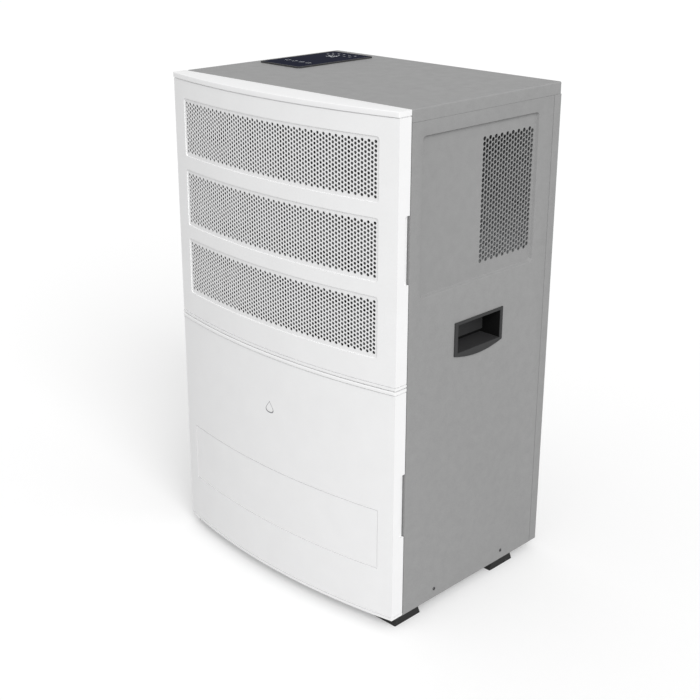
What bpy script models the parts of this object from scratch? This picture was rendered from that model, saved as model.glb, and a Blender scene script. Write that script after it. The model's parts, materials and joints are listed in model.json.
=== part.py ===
"""Commercial cabinet dehumidifier: a sheet-metal cabinet with a swinging upper front door, a pull-out
lower front with the water tank behind it, and the refrigeration circuit and fan inside.

Metres, +Z up. The origin is on the floor under the middle of the object's box. The front faces -Y.
"""

import math

import bmesh
import bpy
from mathutils import Matrix, Vector

# Driving dimensions
WIDTH = 0.590
CABINET_DEPTH = 0.410
CABINET_HEIGHT = 0.950
FOOT_HEIGHT = 0.020
DOOR_DEPTH = 0.032  # side edge of the doors, measured from the cabinet's front
DOOR_BULGE = 0.032  # how far the middle of the doors stands ahead of their side edges
SHEET = 0.0015  # folded steel sheet
DOOR_WALL = 0.0025  # moulded door shells
GAP = 0.0003  # between pieces that touch
PIN_PLAY = 0.00008  # radial play of a pin in its hole

# Places that follow from them
SIDE = WIDTH / 2
REAR = (CABINET_DEPTH + DOOR_DEPTH + DOOR_BULGE) / 2
FRONT = REAR - CABINET_DEPTH
DOOR_EDGE = FRONT - DOOR_DEPTH
DOOR_NOSE = DOOR_EDGE - DOOR_BULGE
BOTTOM = FOOT_HEIGHT
TOP = BOTTOM + CABINET_HEIGHT
ARC_RADIUS = (SIDE**2 + DOOR_BULGE**2) / (2 * DOOR_BULGE)
ARC_CENTRE = DOOR_NOSE + ARC_RADIUS

# Cabinet
LID_FLANGE = 0.022
REAR_WRAP = 0.022  # flange of the rear panel round the corner
FLANGE = 0.018
PANEL_TOP = TOP - LID_FLANGE - GAP
PANEL_REAR = REAR - REAR_WRAP - GAP
FRAME_FRONT = FRONT + SHEET + GAP  # front frame, behind the side panels' front flanges
INSIDE_FRONT = FRAME_FRONT + SHEET + GAP
INSIDE_REAR = PANEL_REAR - SHEET - GAP
INSIDE_SIDE = SIDE - SHEET - GAP
PRESS_DEPTH = 0.006  # pressed field in each side panel
PRESS_Y = (-0.147, 0.172)
PRESS_Z = (0.638, 0.923)
VENT_Y = (0.0195, 0.163)
VENT_Z = (0.668, 0.897)
HANDLE_Y = (-0.050, 0.087)
HANDLE_Z = (0.506, 0.570)
SHELF_Z = 0.460

# Doors
DOOR_GAP = 0.002  # behind and between the doors
SEAM_Z = 0.4825
CAP_PROUD = 0.0015
UPPER_CAP = 0.0095
LOWER_CAP = 0.006
LIP_HEIGHT = 0.005
GRILLE_HALF = 0.257
GRILLE_Z = ((0.8140, 0.9255), (0.6750, 0.7875), (0.5355, 0.6490))
PANEL_HALF = 0.262  # shallow field in the lower front
PANEL_Z = (0.121, 0.242)
NOTCH_DEPTH = 0.012
UPPER_NOTCH = (0.671, 0.793)
LOWER_NOTCH = (0.187, 0.314)
HINGE_X = -SIDE + 0.0045
HINGE_Y = FRONT - 0.0065
PIN_RADIUS = 0.0015
HINGE_Z = (0.502, 0.942)

# Fan and coils
FAN_X, FAN_Z = -0.035, 0.735
SCROLL_Y = (0.012, 0.166)
DECK_Y = SCROLL_Y[0] - SHEET - GAP  # the wall that the scroll is bolted to
SCROLL_START = 0.140  # radius at the tongue
SCROLL_END = 0.174  # radius under the top wall
SCROLL_WALL = 0.002
WHEEL_RADIUS = 0.124
WHEEL_Y = (0.024, 0.136)
SHAFT_RADIUS = 0.005
BLADES = 24
COIL_HALF = 0.245
COIL_Y = (-0.156, -0.036)
COIL_Z = (0.489, 0.936)
TUBE_RADIUS = 0.004

# Tank
TANK_HALF = 0.180
TANK_Y = (-0.166, 0.024)
TANK_Z = (0.048, 0.268)
TANK_WALL = 0.0025
PAN_TOP = TANK_Z[0] - 0.002  # the tank slides out over the base pan's front wall
BAIL_Y, BAIL_Z = -0.071, 0.254
BAIL_REACH = 0.107
BAIL_RADIUS = 0.004
FLOAT_X, FLOAT_Y = 0.130, -0.020
FLOAT_Z = 0.195
POST_RADIUS = 0.005
NOZZLE_X, NOZZLE_Y = 0.100, -0.130

COMPRESSOR_X, COMPRESSOR_Y = -0.130, 0.125

# Base colour, roughness, metallic
FINISHES = {
    "grey_coat": ((0.33, 0.33, 0.33), 0.5, 0.0),
    "white_coat": ((0.83, 0.83, 0.84), 0.4, 0.0),
    "white_grille": ((0.80, 0.80, 0.81), 0.45, 0.0),
    "galvanised": ((0.55, 0.56, 0.57), 0.45, 0.9),
    "dark_plastic": ((0.045, 0.045, 0.047), 0.5, 0.0),
    "rubber": ((0.03, 0.03, 0.03), 0.8, 0.0),
    "display": ((0.02, 0.022, 0.04), 0.08, 0.0),
    "screw_steel": ((0.20, 0.20, 0.20), 0.4, 0.8),
    "aluminium": ((0.75, 0.76, 0.77), 0.35, 1.0),
    "copper": ((0.72, 0.40, 0.25), 0.3, 1.0),
    "black_paint": ((0.02, 0.02, 0.02), 0.4, 0.0),
    "tank_plastic": ((0.70, 0.74, 0.78), 0.35, 0.0),
    "blue_plastic": ((0.05, 0.16, 0.42), 0.4, 0.0),
}

for leftover in list(bpy.data.objects):
    bpy.data.objects.remove(leftover)
PARTS = bpy.data.collections.new("dehumidifier")
CUTTERS = bpy.data.collections.new("cutters")
bpy.context.scene.collection.children.link(PARTS)
bpy.context.scene.collection.children.link(CUTTERS)


# ---------------------------------------------------------------- building blocks


def add(name, mesh, finish):
    """Places a mesh as a part, or as a cutter where it has no finish."""
    obj = bpy.data.objects.new(name, mesh)
    if finish is None:
        CUTTERS.objects.link(obj)
        obj.hide_render = True
        obj.display_type = "WIRE"
        return obj
    PARTS.objects.link(obj)
    colour, roughness, metallic = FINISHES[finish]
    mat = bpy.data.materials.new(f"{name}_{finish}")
    mat.use_nodes = True
    shader = mat.node_tree.nodes["Principled BSDF"]
    shader.inputs["Base Color"].default_value = (*colour, 1.0)
    shader.inputs["Roughness"].default_value = roughness
    shader.inputs["Metallic"].default_value = metallic
    obj.data.materials.append(mat)
    return obj


def from_bmesh(name, bm, finish):
    mesh = bpy.data.meshes.new(name)
    bm.to_mesh(mesh)
    bm.free()
    return add(name, mesh, finish)


def box(name, corner, opposite, finish=None, round_axis=None, radius=0.0, steps=4):
    """A box between two corners. Its edges along round_axis (0, 1 or 2) can be rounded."""
    low = Vector(map(min, corner, opposite))
    high = Vector(map(max, corner, opposite))
    bm = bmesh.new()
    bmesh.ops.create_cube(bm, size=1.0)
    bmesh.ops.scale(bm, vec=high - low, verts=bm.verts)
    if round_axis is not None:
        along = [e for e in bm.edges if abs((e.verts[0].co - e.verts[1].co)[round_axis]) > 1e-6]
        bmesh.ops.bevel(bm, geom=along, offset=radius, segments=steps, profile=0.5, affect="EDGES")
    obj = from_bmesh(name, bm, finish)
    obj.location = (low + high) / 2
    return obj


AXIS_TURN = {
    "X": Matrix.Rotation(math.pi / 2, 4, "Y"),
    "Y": Matrix.Rotation(-math.pi / 2, 4, "X"),
    "Z": Matrix.Identity(4),
}


def cylinder(name, radius, start, length, axis="Z", finish=None, sides=32, radius_end=None):
    """A cylinder or cone from start, along +axis."""
    bm = bmesh.new()
    bmesh.ops.create_cone(
        bm,
        cap_ends=True,
        segments=sides,
        radius1=radius,
        radius2=radius if radius_end is None else radius_end,
        depth=length,
        matrix=AXIS_TURN[axis] @ Matrix.Translation((0, 0, length / 2)),
    )
    obj = from_bmesh(name, bm, finish)
    obj.location = start
    return obj


PLANES = {
    "XY": Matrix.Identity(4),
    "XZ": Matrix.Rotation(math.pi / 2, 4, "X"),
    "YZ": Matrix(((0, 0, 1, 0), (1, 0, 0, 0), (0, 1, 0, 0), (0, 0, 0, 1))),
}


def prism(name, outlines, start, end, finish=None, plane="XY"):
    """A flat outline, with any further outlines as holes, given thickness from start to end."""
    curve = bpy.data.curves.new(name, "CURVE")
    curve.dimensions = "2D"
    curve.fill_mode = "BOTH"
    curve.extrude = (end - start) / 2
    for outline in outlines:
        spline = curve.splines.new("POLY")
        spline.points.add(len(outline) - 1)
        for point, (u, v) in zip(spline.points, outline):
            point.co = (u, v, 0, 1)
        spline.use_cyclic_u = True
    mesh = mesh_of_curve(name, curve)
    mesh.transform(PLANES[plane])
    middle = (start + end) / 2
    normal = {"XY": (0, 0, middle), "XZ": (0, middle, 0), "YZ": (middle, 0, 0)}[plane]
    obj = add(name, mesh, finish)
    obj.location = normal
    return obj


def mesh_of_curve(name, curve):
    """The closed mesh of a curve, with its caps welded and its faces pointing out."""
    holder = bpy.data.objects.new(name + "_curve", curve)
    bpy.context.scene.collection.objects.link(holder)
    graph = bpy.context.evaluated_depsgraph_get()
    mesh = bpy.data.meshes.new_from_object(holder.evaluated_get(graph))
    bpy.data.objects.remove(holder)
    bm = bmesh.new()
    bm.from_mesh(mesh)
    bmesh.ops.remove_doubles(bm, verts=bm.verts, dist=1e-6)
    bmesh.ops.recalc_face_normals(bm, faces=bm.faces)
    bm.to_mesh(mesh)
    bm.free()
    return mesh


def tube(name, points, radius, finish, resolution=2):
    """A round rod or pipe along points."""
    curve = bpy.data.curves.new(name, "CURVE")
    curve.dimensions = "3D"
    curve.bevel_depth = radius
    curve.bevel_resolution = resolution
    curve.use_fill_caps = True
    spline = curve.splines.new("POLY")
    spline.points.add(len(points) - 1)
    for point, place in zip(spline.points, points):
        point.co = (*place, 1)
    return add(name, mesh_of_curve(name, curve), finish)


def rounded_path(corners, radius, steps=4):
    """The points of a path whose inner corners are arcs."""
    corners = [Vector(c) for c in corners]
    points = [corners[0]]
    for before, corner, after in zip(corners, corners[1:], corners[2:]):
        back = (before - corner).normalized()
        ahead = (after - corner).normalized()
        half = back.angle(ahead) / 2
        reach = radius / math.tan(half)
        centre = corner + (back + ahead).normalized() * (radius / math.sin(half))
        first = corner + back * reach - centre
        last = corner + ahead * reach - centre
        points += [centre + first.slerp(last, i / steps).normalized() * radius for i in range(steps + 1)]
    points.append(corners[-1])
    return points


def turned(name, profile, place, finish, axis="Z", steps=32):
    """A turned solid. The profile's (radius, height) pairs run down its outer side. It starts and ends on
    the axis, or else it closes on itself."""
    bm = bmesh.new()
    verts = [bm.verts.new((r, 0, h)) for r, h in profile]
    closing = [] if profile[0][0] == profile[-1][0] == 0 else verts[:1]
    for first, second in zip(verts, verts[1:] + closing):
        bm.edges.new((first, second))
    obj = from_bmesh(name, bm, finish)
    screw = obj.modifiers.new("turn", "SCREW")
    screw.steps = steps
    screw.render_steps = steps
    screw.use_merge_vertices = True
    screw.merge_threshold = 0.00001
    obj.matrix_world = Matrix.Translation(place) @ AXIS_TURN[axis]
    return obj


def combine(obj, other, operation):
    step = obj.modifiers.new(operation.lower(), "BOOLEAN")
    step.operation = operation
    step.solver = "EXACT"
    step.object = other
    return obj


def cut(obj, *cutters):
    for cutter in cutters:
        combine(obj, cutter, "DIFFERENCE")
    return obj


def join(obj, *others):
    for other in others:
        combine(obj, other, "UNION")
    return obj


def tray(name, corner, opposite, open_axis, open_sign, finish, wall=SHEET):
    """A folded sheet tray: a box hollowed out from one side."""
    low = [min(pair) for pair in zip(corner, opposite)]
    high = [max(pair) for pair in zip(corner, opposite)]
    inner_low = [v + wall for v in low]
    inner_high = [v - wall for v in high]
    if open_sign > 0:
        inner_high[open_axis] = high[open_axis] + wall
    else:
        inner_low[open_axis] = low[open_axis] - wall
    return cut(box(name, low, high, finish), box(name + "_hollow", inner_low, inner_high))


def rectangle(u, v, radius=0.0, steps=4):
    """A rectangle's outline between u and v pairs, with rounded corners."""
    corners = ((u[1], v[1], 0), (u[0], v[1], 1), (u[0], v[0], 2), (u[1], v[0], 3))
    if not radius:
        return [(a, b) for a, b, _ in corners]
    points = []
    for a, b, quarter in corners:
        inward = math.radians(45 + 90 * quarter)
        ca = a - math.copysign(radius, math.cos(inward))
        cb = b - math.copysign(radius, math.sin(inward))
        for i in range(steps + 1):
            angle = math.radians(90 * quarter + 90 * i / steps)
            points.append((ca + radius * math.cos(angle), cb + radius * math.sin(angle)))
    return points


def circle(u, v, radius, steps=32):
    turn = 2 * math.pi / steps
    return [(u + radius * math.cos(turn * i), v + radius * math.sin(turn * i)) for i in range(steps)]


def arc(radius, half, steps=18):
    """Points from -half to +half on the doors' bowed front, at a radius from its centre."""
    xs = [half * (2 * i / steps - 1) for i in range(steps + 1)]
    return [(x, ARC_CENTRE - math.sqrt(radius**2 - x**2)) for x in xs]


# ---------------------------------------------------------------- cabinet


def side_panel(name, side, vented):
    """A C-shaped side of the cabinet with a pressed field and a handle cut-out."""

    def x(depth):
        return side * (SIDE - depth)

    panel = box(name, (x(0), FRONT, BOTTOM), (x(FLANGE), PANEL_REAR, PANEL_TOP), "grey_coat")
    hollow = box(
        name + "_hollow",
        (x(SHEET), FRONT + SHEET, BOTTOM - FLANGE),
        (x(FLANGE * 2), PANEL_REAR - SHEET, PANEL_TOP + FLANGE),
    )
    backing = box(
        name + "_press_back",
        (x(SHEET / 2), PRESS_Y[0] - SHEET, PRESS_Z[0] - SHEET),
        (x(PRESS_DEPTH + SHEET), PRESS_Y[1] + SHEET, PRESS_Z[1] + SHEET),
        round_axis=0,
        radius=0.009,
    )
    press = box(
        name + "_press",
        (x(-0.01), PRESS_Y[0], PRESS_Z[0]),
        (x(PRESS_DEPTH), PRESS_Y[1], PRESS_Z[1]),
        round_axis=0,
        radius=0.008,
    )
    grip = box(
        name + "_grip",
        (x(-0.01), HANDLE_Y[0] + 0.005, HANDLE_Z[0] + 0.003),
        (x(0.01), HANDLE_Y[1] - 0.005, HANDLE_Z[1] - 0.003),
    )
    cut(panel, hollow)
    join(panel, backing)
    cut(panel, press, grip)
    if vented:
        vent = box(name + "_vent", (x(-0.01), VENT_Y[0], VENT_Z[0]), (x(0.02), VENT_Y[1], VENT_Z[1]))
        cut(panel, vent)
    return panel


def base_pan():
    tray(
        "base_pan",
        (-INSIDE_SIDE, INSIDE_FRONT, BOTTOM),
        (INSIDE_SIDE, INSIDE_REAR, PAN_TOP),
        2,
        1,
        "galvanised",
    )


def feet():
    """Four moulded feet, splayed towards the floor."""
    for word, side in (("right", 1), ("left", -1)):
        for end, y in (("front", (-0.190, -0.119)), ("rear", (0.091, 0.163))):
            foot = box(
                f"foot_{end}_{word}",
                (side * 0.236, y[0], 0),
                (side * 0.291, y[1], BOTTOM - GAP),
                "rubber",
            )
            for vert in foot.data.vertices:
                if vert.co.z > 0:
                    vert.co.y *= 1 - 2 * 0.008 / (y[1] - y[0])


def rear_panel():
    panel = box("rear_panel", (-SIDE, REAR - REAR_WRAP, BOTTOM), (SIDE, REAR, PANEL_TOP), "grey_coat")
    hollow = box(
        "rear_panel_hollow",
        (-SIDE + SHEET, REAR - REAR_WRAP - SHEET, BOTTOM + SHEET),
        (SIDE - SHEET, REAR - SHEET, PANEL_TOP - SHEET),
    )
    backing = box(
        "rear_panel_well_back", (-0.262, REAR - 0.0195, 0.070), (-0.060, REAR - SHEET / 2, 0.160)
    )
    well = box("rear_panel_well", (-0.260, REAR - 0.018, 0.072), (-0.062, REAR + 0.01, 0.158))
    cut(panel, hollow)
    join(panel, backing)
    cut(panel, well)
    for x in (-0.215, -0.105):
        cut(panel, cylinder("rear_panel_outlet", 0.0102, (x, REAR - 0.04, 0.115), 0.04, "Y"))
    return panel


def rear_fittings():
    """The supply cord's gland and the hose spout, both inside the rear panel's well."""
    well = REAR - 0.018
    bore, neck, collar = 0.0052, 0.0100, 0.0135
    gland = [(bore, -0.010), (neck, -0.010), (neck, GAP), (collar, GAP), (collar, 0.005)]
    gland += [(0.009, 0.0155), (bore, 0.0155)]
    turned("cable_gland", gland[::-1], (-0.215, well, 0.115), "dark_plastic", "Y", 24)
    bore, neck, collar = 0.0055, 0.0100, 0.0140
    spout = [(bore, -0.012), (neck, -0.012), (neck, GAP), (collar, GAP), (collar, 0.002)]
    spout += [(0.0080, 0.002), (0.0075, 0.0165), (bore, 0.0165)]
    turned("drain_spout", spout[::-1], (-0.105, well, 0.115), "dark_plastic", "Y", 24)


def top_lid():
    lid = box("top_lid", (-SIDE, FRONT, TOP - LID_FLANGE), (SIDE, REAR, TOP), "grey_coat")
    hollow = box(
        "top_lid_hollow",
        (-SIDE + SHEET, FRONT + SHEET, TOP - LID_FLANGE - SHEET),
        (SIDE - SHEET, REAR - SHEET, TOP - SHEET),
    )
    cable_way = box("top_lid_cable_way", (-0.235, 0.150, TOP - 0.01), (-0.195, 0.160, TOP + 0.01))
    return cut(lid, hollow, cable_way)


def display():
    """A raised frame and its glass, near the lid's rear left corner."""
    u, v = (-0.272, -0.157), (-0.005, 0.205)
    rim = 0.003
    opening_u, opening_v = (u[0] + rim, u[1] - rim), (v[0] + rim, v[1] - rim)
    outlines = [rectangle(u, v, 0.006), rectangle(opening_u, opening_v, 0.003)]
    prism("display_frame", outlines, TOP + GAP, TOP + 0.003, "dark_plastic")
    glass_u = (opening_u[0] + GAP, opening_u[1] - GAP)
    glass_v = (opening_v[0] + GAP, opening_v[1] - GAP)
    prism("display_glass", [rectangle(glass_u, glass_v, 0.0028)], TOP + GAP, TOP + 0.0027, "display")


def front_frame():
    """The inner front wall: the air intake above and the tank's opening below."""
    outline = rectangle((-INSIDE_SIDE, INSIDE_SIDE), (BOTTOM, PANEL_TOP))
    intake = rectangle((-0.246, 0.246), (0.488, 0.938), 0.008)
    tank_way = rectangle((-0.202, 0.202), (0.032, 0.300), 0.008)
    prism("front_frame", [outline, intake, tank_way], FRAME_FRONT, FRAME_FRONT + SHEET, "galvanised", "XZ")


def mid_shelf():
    shelf = box(
        "mid_shelf",
        (-INSIDE_SIDE, INSIDE_FRONT, SHELF_Z),
        (INSIDE_SIDE, INSIDE_REAR, SHELF_Z + SHEET),
        "galvanised",
    )
    for x, y, radius in ((NOZZLE_X, NOZZLE_Y, 0.0085), (-0.262, 0.165, 0.007), (-0.262, 0.190, 0.008)):
        cut(shelf, cylinder("mid_shelf_hole", radius, (x, y, SHELF_Z - 0.01), 0.02, sides=16))
    return shelf


def fan_deck():
    """The wall between the coil chamber and the fan."""
    half = 0.285
    outline = rectangle((-half, half), (SHELF_Z + SHEET + GAP, PANEL_TOP))
    inlet = circle(FAN_X, FAN_Z, 0.112)
    deck = prism("fan_deck", [outline, inlet], DECK_Y, DECK_Y + SHEET, "galvanised", "XZ")
    for side in (-1, 1):
        cut(
            deck,
            box(
                "fan_deck_grip_clearance",
                (side * 0.245, DECK_Y - 0.01, HANDLE_Z[0] - 0.005),
                (side * 0.3, DECK_Y + 0.01, HANDLE_Z[1] + 0.005),
            ),
        )
    cut(deck, box("fan_deck_pipe_slot", (-0.274, DECK_Y - 0.01, 0.855), (-0.252, DECK_Y + 0.01, 0.918)))
    return deck


def outlet_grille():
    behind = SIDE - PRESS_DEPTH - SHEET - GAP
    box(
        "outlet_grille",
        (behind, VENT_Y[0] - 0.004, VENT_Z[0] - 0.005),
        (behind - 0.001, VENT_Y[1] + 0.004, VENT_Z[1] + 0.005),
        "grey_coat",
    )


def handle_cup(name, side):
    """A moulded grip: a face plate with a bowed lower edge, and a pocket behind it."""
    y, z = HANDLE_Y, HANDLE_Z
    bow = 0.010
    steps = 12
    lower = []
    for i in range(steps + 1):
        across = 2 * i / steps - 1
        lower.append((y[0] + (y[1] - y[0]) * i / steps, z[0] - bow * (1 - across**2)))
    plate_start, plate_end = sorted((side * (SIDE + GAP), side * (SIDE + 0.0022)))
    cup = prism(name, [[*lower, (y[1], z[1]), (y[0], z[1])]], plate_start, plate_end, "dark_plastic", "YZ")
    pocket = box(
        name + "_pocket",
        (side * (SIDE + 0.001), y[0] + 0.0055, z[0] + 0.0035),
        (side * (SIDE - 0.047), y[1] - 0.0055, z[1] - 0.0035),
    )
    mouth, back = side * (SIDE + 0.01), side * (SIDE - 0.045)
    low, high = z[0] + 0.0055, z[1] - 0.0055
    section = [(mouth, low - 0.001), (mouth, high), (back, high), (back, low + 0.012)]
    cavity = prism(name + "_cavity", [section], y[0] + 0.0085, y[1] - 0.0075, None, "XZ")
    join(cup, pocket)
    cut(cup, cavity)
    return cup


# ---------------------------------------------------------------- fan


def scroll_radius(angle):
    """Spiral radius: angle runs from 90 degrees, at the top, round by the left to 340, at the tongue."""
    return SCROLL_END + (SCROLL_START - SCROLL_END) * (angle - 90) / 250


def scroll_outline(inset, outlet_x):
    points = [(outlet_x, FAN_Z + SCROLL_END - inset)]
    for i in range(26):
        angle = 90 + 10 * i
        r = scroll_radius(angle) - inset
        turn = math.radians(angle)
        points.append((FAN_X + r * math.cos(turn), FAN_Z + r * math.sin(turn)))
    tongue_x, tongue_z = points[-1]
    points.append((tongue_x + 0.010, tongue_z))
    points.append((outlet_x, VENT_Z[0] - 0.004 + inset))
    return points


def fan_scroll():
    outlet_x = SIDE - PRESS_DEPTH - SHEET - 0.001 - 3 * GAP
    scroll = prism("fan_scroll", [scroll_outline(0, outlet_x)], *SCROLL_Y, "galvanised", "XZ")
    inner = prism(
        "fan_scroll_hollow",
        [scroll_outline(SCROLL_WALL, outlet_x + 0.01)],
        SCROLL_Y[0] + SCROLL_WALL,
        SCROLL_Y[1] - SCROLL_WALL,
        None,
        "XZ",
    )
    inlet = cylinder("fan_scroll_inlet", 0.105, (FAN_X, SCROLL_Y[0] - 0.01, FAN_Z), 0.02, "Y", sides=48)
    shaft_way = cylinder("fan_scroll_shaft_way", 0.020, (FAN_X, SCROLL_Y[1] - 0.01, FAN_Z), 0.02, "Y")
    return cut(scroll, inner, inlet, shaft_way)


def fan_wheel():
    """A forward-curved wheel: back disc with hub, slanted blades and a front ring."""
    disc = (FAN_X, WHEEL_Y[1] - 0.003, FAN_Z)
    wheel = cylinder("fan_wheel", WHEEL_RADIUS, disc, 0.003, "Y", "galvanised", 48)
    hub = cylinder("fan_wheel_hub", 0.016, (FAN_X, WHEEL_Y[1] - 0.034, FAN_Z), 0.032, "Y", sides=24)
    ring_inner = WHEEL_RADIUS - 0.019
    ring_profile = [(WHEEL_RADIUS, 0), (WHEEL_RADIUS, 0.005), (ring_inner, 0.005), (ring_inner, 0)]
    ring = turned("fan_wheel_ring", ring_profile, (FAN_X, WHEEL_Y[0], FAN_Z), None, "Y", 48)
    bm = bmesh.new()
    length = WHEEL_Y[1] - WHEEL_Y[0] - 0.003
    for i in range(BLADES):
        made = bmesh.ops.create_cube(bm, size=1.0)["verts"]
        bmesh.ops.scale(bm, vec=(0.0165, length, 0.0012), verts=made)
        place = Matrix.Rotation(2 * math.pi * i / BLADES, 4, "Y") @ Matrix.Translation(
            (WHEEL_RADIUS - 0.0095, 0, 0)
        )
        bmesh.ops.transform(bm, matrix=place @ Matrix.Rotation(math.radians(35), 4, "Y"), verts=made)
    blades = from_bmesh("fan_wheel_blades", bm, None)
    blades.location = (FAN_X, (WHEEL_Y[0] + WHEEL_Y[1]) / 2, FAN_Z)
    bore = cylinder(
        "fan_wheel_bore", SHAFT_RADIUS + PIN_PLAY, (FAN_X, WHEEL_Y[1] - 0.05, FAN_Z), 0.07, "Y"
    )
    join(wheel, hub, blades, ring)
    return cut(wheel, bore)


def fan_drive():
    start = WHEEL_Y[1] - 0.036
    cylinder("fan_shaft", SHAFT_RADIUS, (FAN_X, start, FAN_Z), 0.179 - start, "Y", "screw_steel")
    body_y = SCROLL_Y[1] + GAP
    profile = [(0, 0.054), (0.045, 0.054), (0.052, 0.047), (0.052, 0.006), (0.058, 0.006), (0.058, 0)]
    profile.append((0, 0))
    motor = turned("fan_motor", profile, (FAN_X, body_y, FAN_Z), "galvanised", "Y")
    bore = cylinder("fan_motor_bore", SHAFT_RADIUS + PIN_PLAY, (FAN_X, body_y - 0.01, FAN_Z), 0.024, "Y")
    cut(motor, bore)


# ---------------------------------------------------------------- refrigeration


def fin_pack(name, y, folds=44):
    """Folded aluminium fins, as one pleated sheet."""
    half, thick = 0.236, 0.0016
    xs = [half * (2 * i / folds - 1) for i in range(folds + 1)]
    ridge = [(x, y[i % 2]) for i, x in enumerate(xs)]
    outline = [(x, v - thick) for x, v in ridge] + [(x, v + thick) for x, v in reversed(ridge)]
    prism(name, [outline], COIL_Z[0] + 0.004, COIL_Z[1] - 0.004, "aluminium")


def serpentine(name, y, low, high, passes=8):
    """One copper tube that runs to and fro behind its fins and leaves through the frame's left side."""
    step = (high - low) / (passes - 1)
    inner, outside = 0.214, -COIL_HALF - 0.006
    points = [(outside, y, low)]
    for i in range(passes):
        z = low + step * i
        side = 1 if i % 2 == 0 else -1
        if i == passes - 1:
            points.append((outside, y, z))
            break
        for k in range(5):
            angle = math.radians(-90 + 45 * k)
            x = side * (inner + 0.024 * math.cos(angle))
            points.append((x, y, z + step / 2 * (1 + math.sin(angle))))
    return tube(name, points, TUBE_RADIUS, "copper")


def coils():
    fin_pack("evaporator_fins", (-0.151, -0.108))
    serpentine("evaporator_tube", -0.1020, 0.500, 0.905)
    fin_pack("condenser_fins", (-0.094, -0.052))
    serpentine("condenser_tube", -0.0460, 0.500, 0.870)
    frame = box(
        "coil_frame", (-COIL_HALF, COIL_Y[0], COIL_Z[0]), (COIL_HALF, COIL_Y[1], COIL_Z[1]), "galvanised"
    )
    hollow = box(
        "coil_frame_hollow",
        (-COIL_HALF + SHEET, COIL_Y[0] - 0.01, COIL_Z[0] + SHEET),
        (COIL_HALF - SHEET, COIL_Y[1] + 0.01, COIL_Z[1] - SHEET),
    )
    cut(frame, hollow)
    for y, heights in ((-0.1020, (0.500, 0.905)), (-0.0460, (0.500, 0.870))):
        for z in heights:
            cut(frame, cylinder("coil_frame_hole", 0.0045, (-0.26, y, z), 0.03, "X", sides=16))


def drip_tray():
    """Catches the condensate under the coils and leads it down to the tank."""
    floor = SHELF_Z + SHEET + GAP
    body = tray(
        "drip_tray",
        (-0.250, -0.162, floor),
        (0.250, -0.030, COIL_Z[0] - GAP),
        2,
        1,
        "dark_plastic",
        0.002,
    )
    foot = 0.300
    nozzle = cylinder("drip_tray_nozzle", 0.007, (NOZZLE_X, NOZZLE_Y, foot), floor - foot + 0.001, sides=20)
    bore = cylinder("drip_tray_bore", 0.005, (NOZZLE_X, NOZZLE_Y, 0.290), 0.19, sides=20)
    return cut(join(body, nozzle), bore)


def compressor():
    """A hermetic compressor: a drawn shell over a motor and pump, on a foot plate."""
    place = (COMPRESSOR_X, COMPRESSOR_Y, 0)
    wall, radius, low, shoulder = 0.0035, 0.066, 0.068, 0.285
    outer = [(radius, low), (radius, shoulder)]
    inner = [(radius - wall, low), (radius - wall, shoulder)]
    for i in range(1, 7):
        angle = math.radians(15 * i)
        outer.append((radius * math.cos(angle), shoulder + 0.040 * math.sin(angle)))
        inner.append(((radius - wall) * math.cos(angle), shoulder + (0.040 - wall) * math.sin(angle)))
    outer[-1], inner[-1] = (0, shoulder + 0.040), (0, shoulder + 0.040 - wall)
    turned("compressor_shell", outer[::-1] + inner, place, "black_paint")
    core = [(0, 0.0683), (0.046, 0.0683), (0.046, 0.190), (0.030, 0.205), (0.030, 0.230), (0, 0.230)]
    turned("compressor_pump", core[::-1], place, "screw_steel", steps=24)
    half = 0.078
    wide, deep = (COMPRESSOR_X - half, COMPRESSOR_X + half), (COMPRESSOR_Y - half, COMPRESSOR_Y + half)
    foot = prism("compressor_base", [rectangle(wide, deep, 0.020)], 0.044, 0.047, "black_paint")
    dish = cylinder(
        "compressor_base_dish", 0.058, (COMPRESSOR_X, COMPRESSOR_Y, 0.046), 0.022 - GAP, radius_end=0.066
    )
    join(foot, dish)
    spots = ((-0.062, -0.062), (0.062, -0.062), (0, 0.070))
    block = BOTTOM + SHEET + GAP
    for i, (dx, dy) in enumerate(spots):
        spot = (COMPRESSOR_X + dx, COMPRESSOR_Y + dy, block)
        hole = cylinder("compressor_base_hole", 0.004, (spot[0], spot[1], 0.03), 0.0175, sides=12)
        cut(foot, hole)
        cylinder(f"compressor_mount_{i + 1}", 0.011, spot, 0.044 - GAP - block, "Z", "rubber", 20)


def accumulator_and_pipes():
    x, y = COMPRESSOR_X + 0.096, COMPRESSOR_Y
    profile = [(0.007, 0.125), (0.022, 0.130), (0.022, 0.245), (0.007, 0.255)]
    wall = [(r - 0.0015, z + (0.0015 if z < 0.2 else -0.0015)) for r, z in profile]
    turned("accumulator", profile[::-1] + wall, (x, y, 0), "black_paint", steps=20)
    edge = -COIL_HALF - 0.006 - GAP
    suction = rounded_path(
        [(edge, -0.1020, 0.905), (-0.262, -0.1020, 0.905), (-0.262, 0.190, 0.905), (-0.262, 0.190, 0.330),
         (x, 0.190, 0.330), (x, y, 0.330), (x, y, 0.2555)],
        0.009,
    )
    tube("suction_pipe", suction, 0.005, "copper")
    discharge = rounded_path(
        [(edge, -0.0460, 0.870), (-0.262, -0.0460, 0.870), (-0.262, 0.165, 0.870), (-0.262, 0.165, 0.370),
         (COMPRESSOR_X, 0.165, 0.370), (COMPRESSOR_X, y, 0.370), (COMPRESSOR_X, y, 0.3255)],
        0.009,
    )
    tube("discharge_pipe", discharge, 0.004, "copper")


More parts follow.
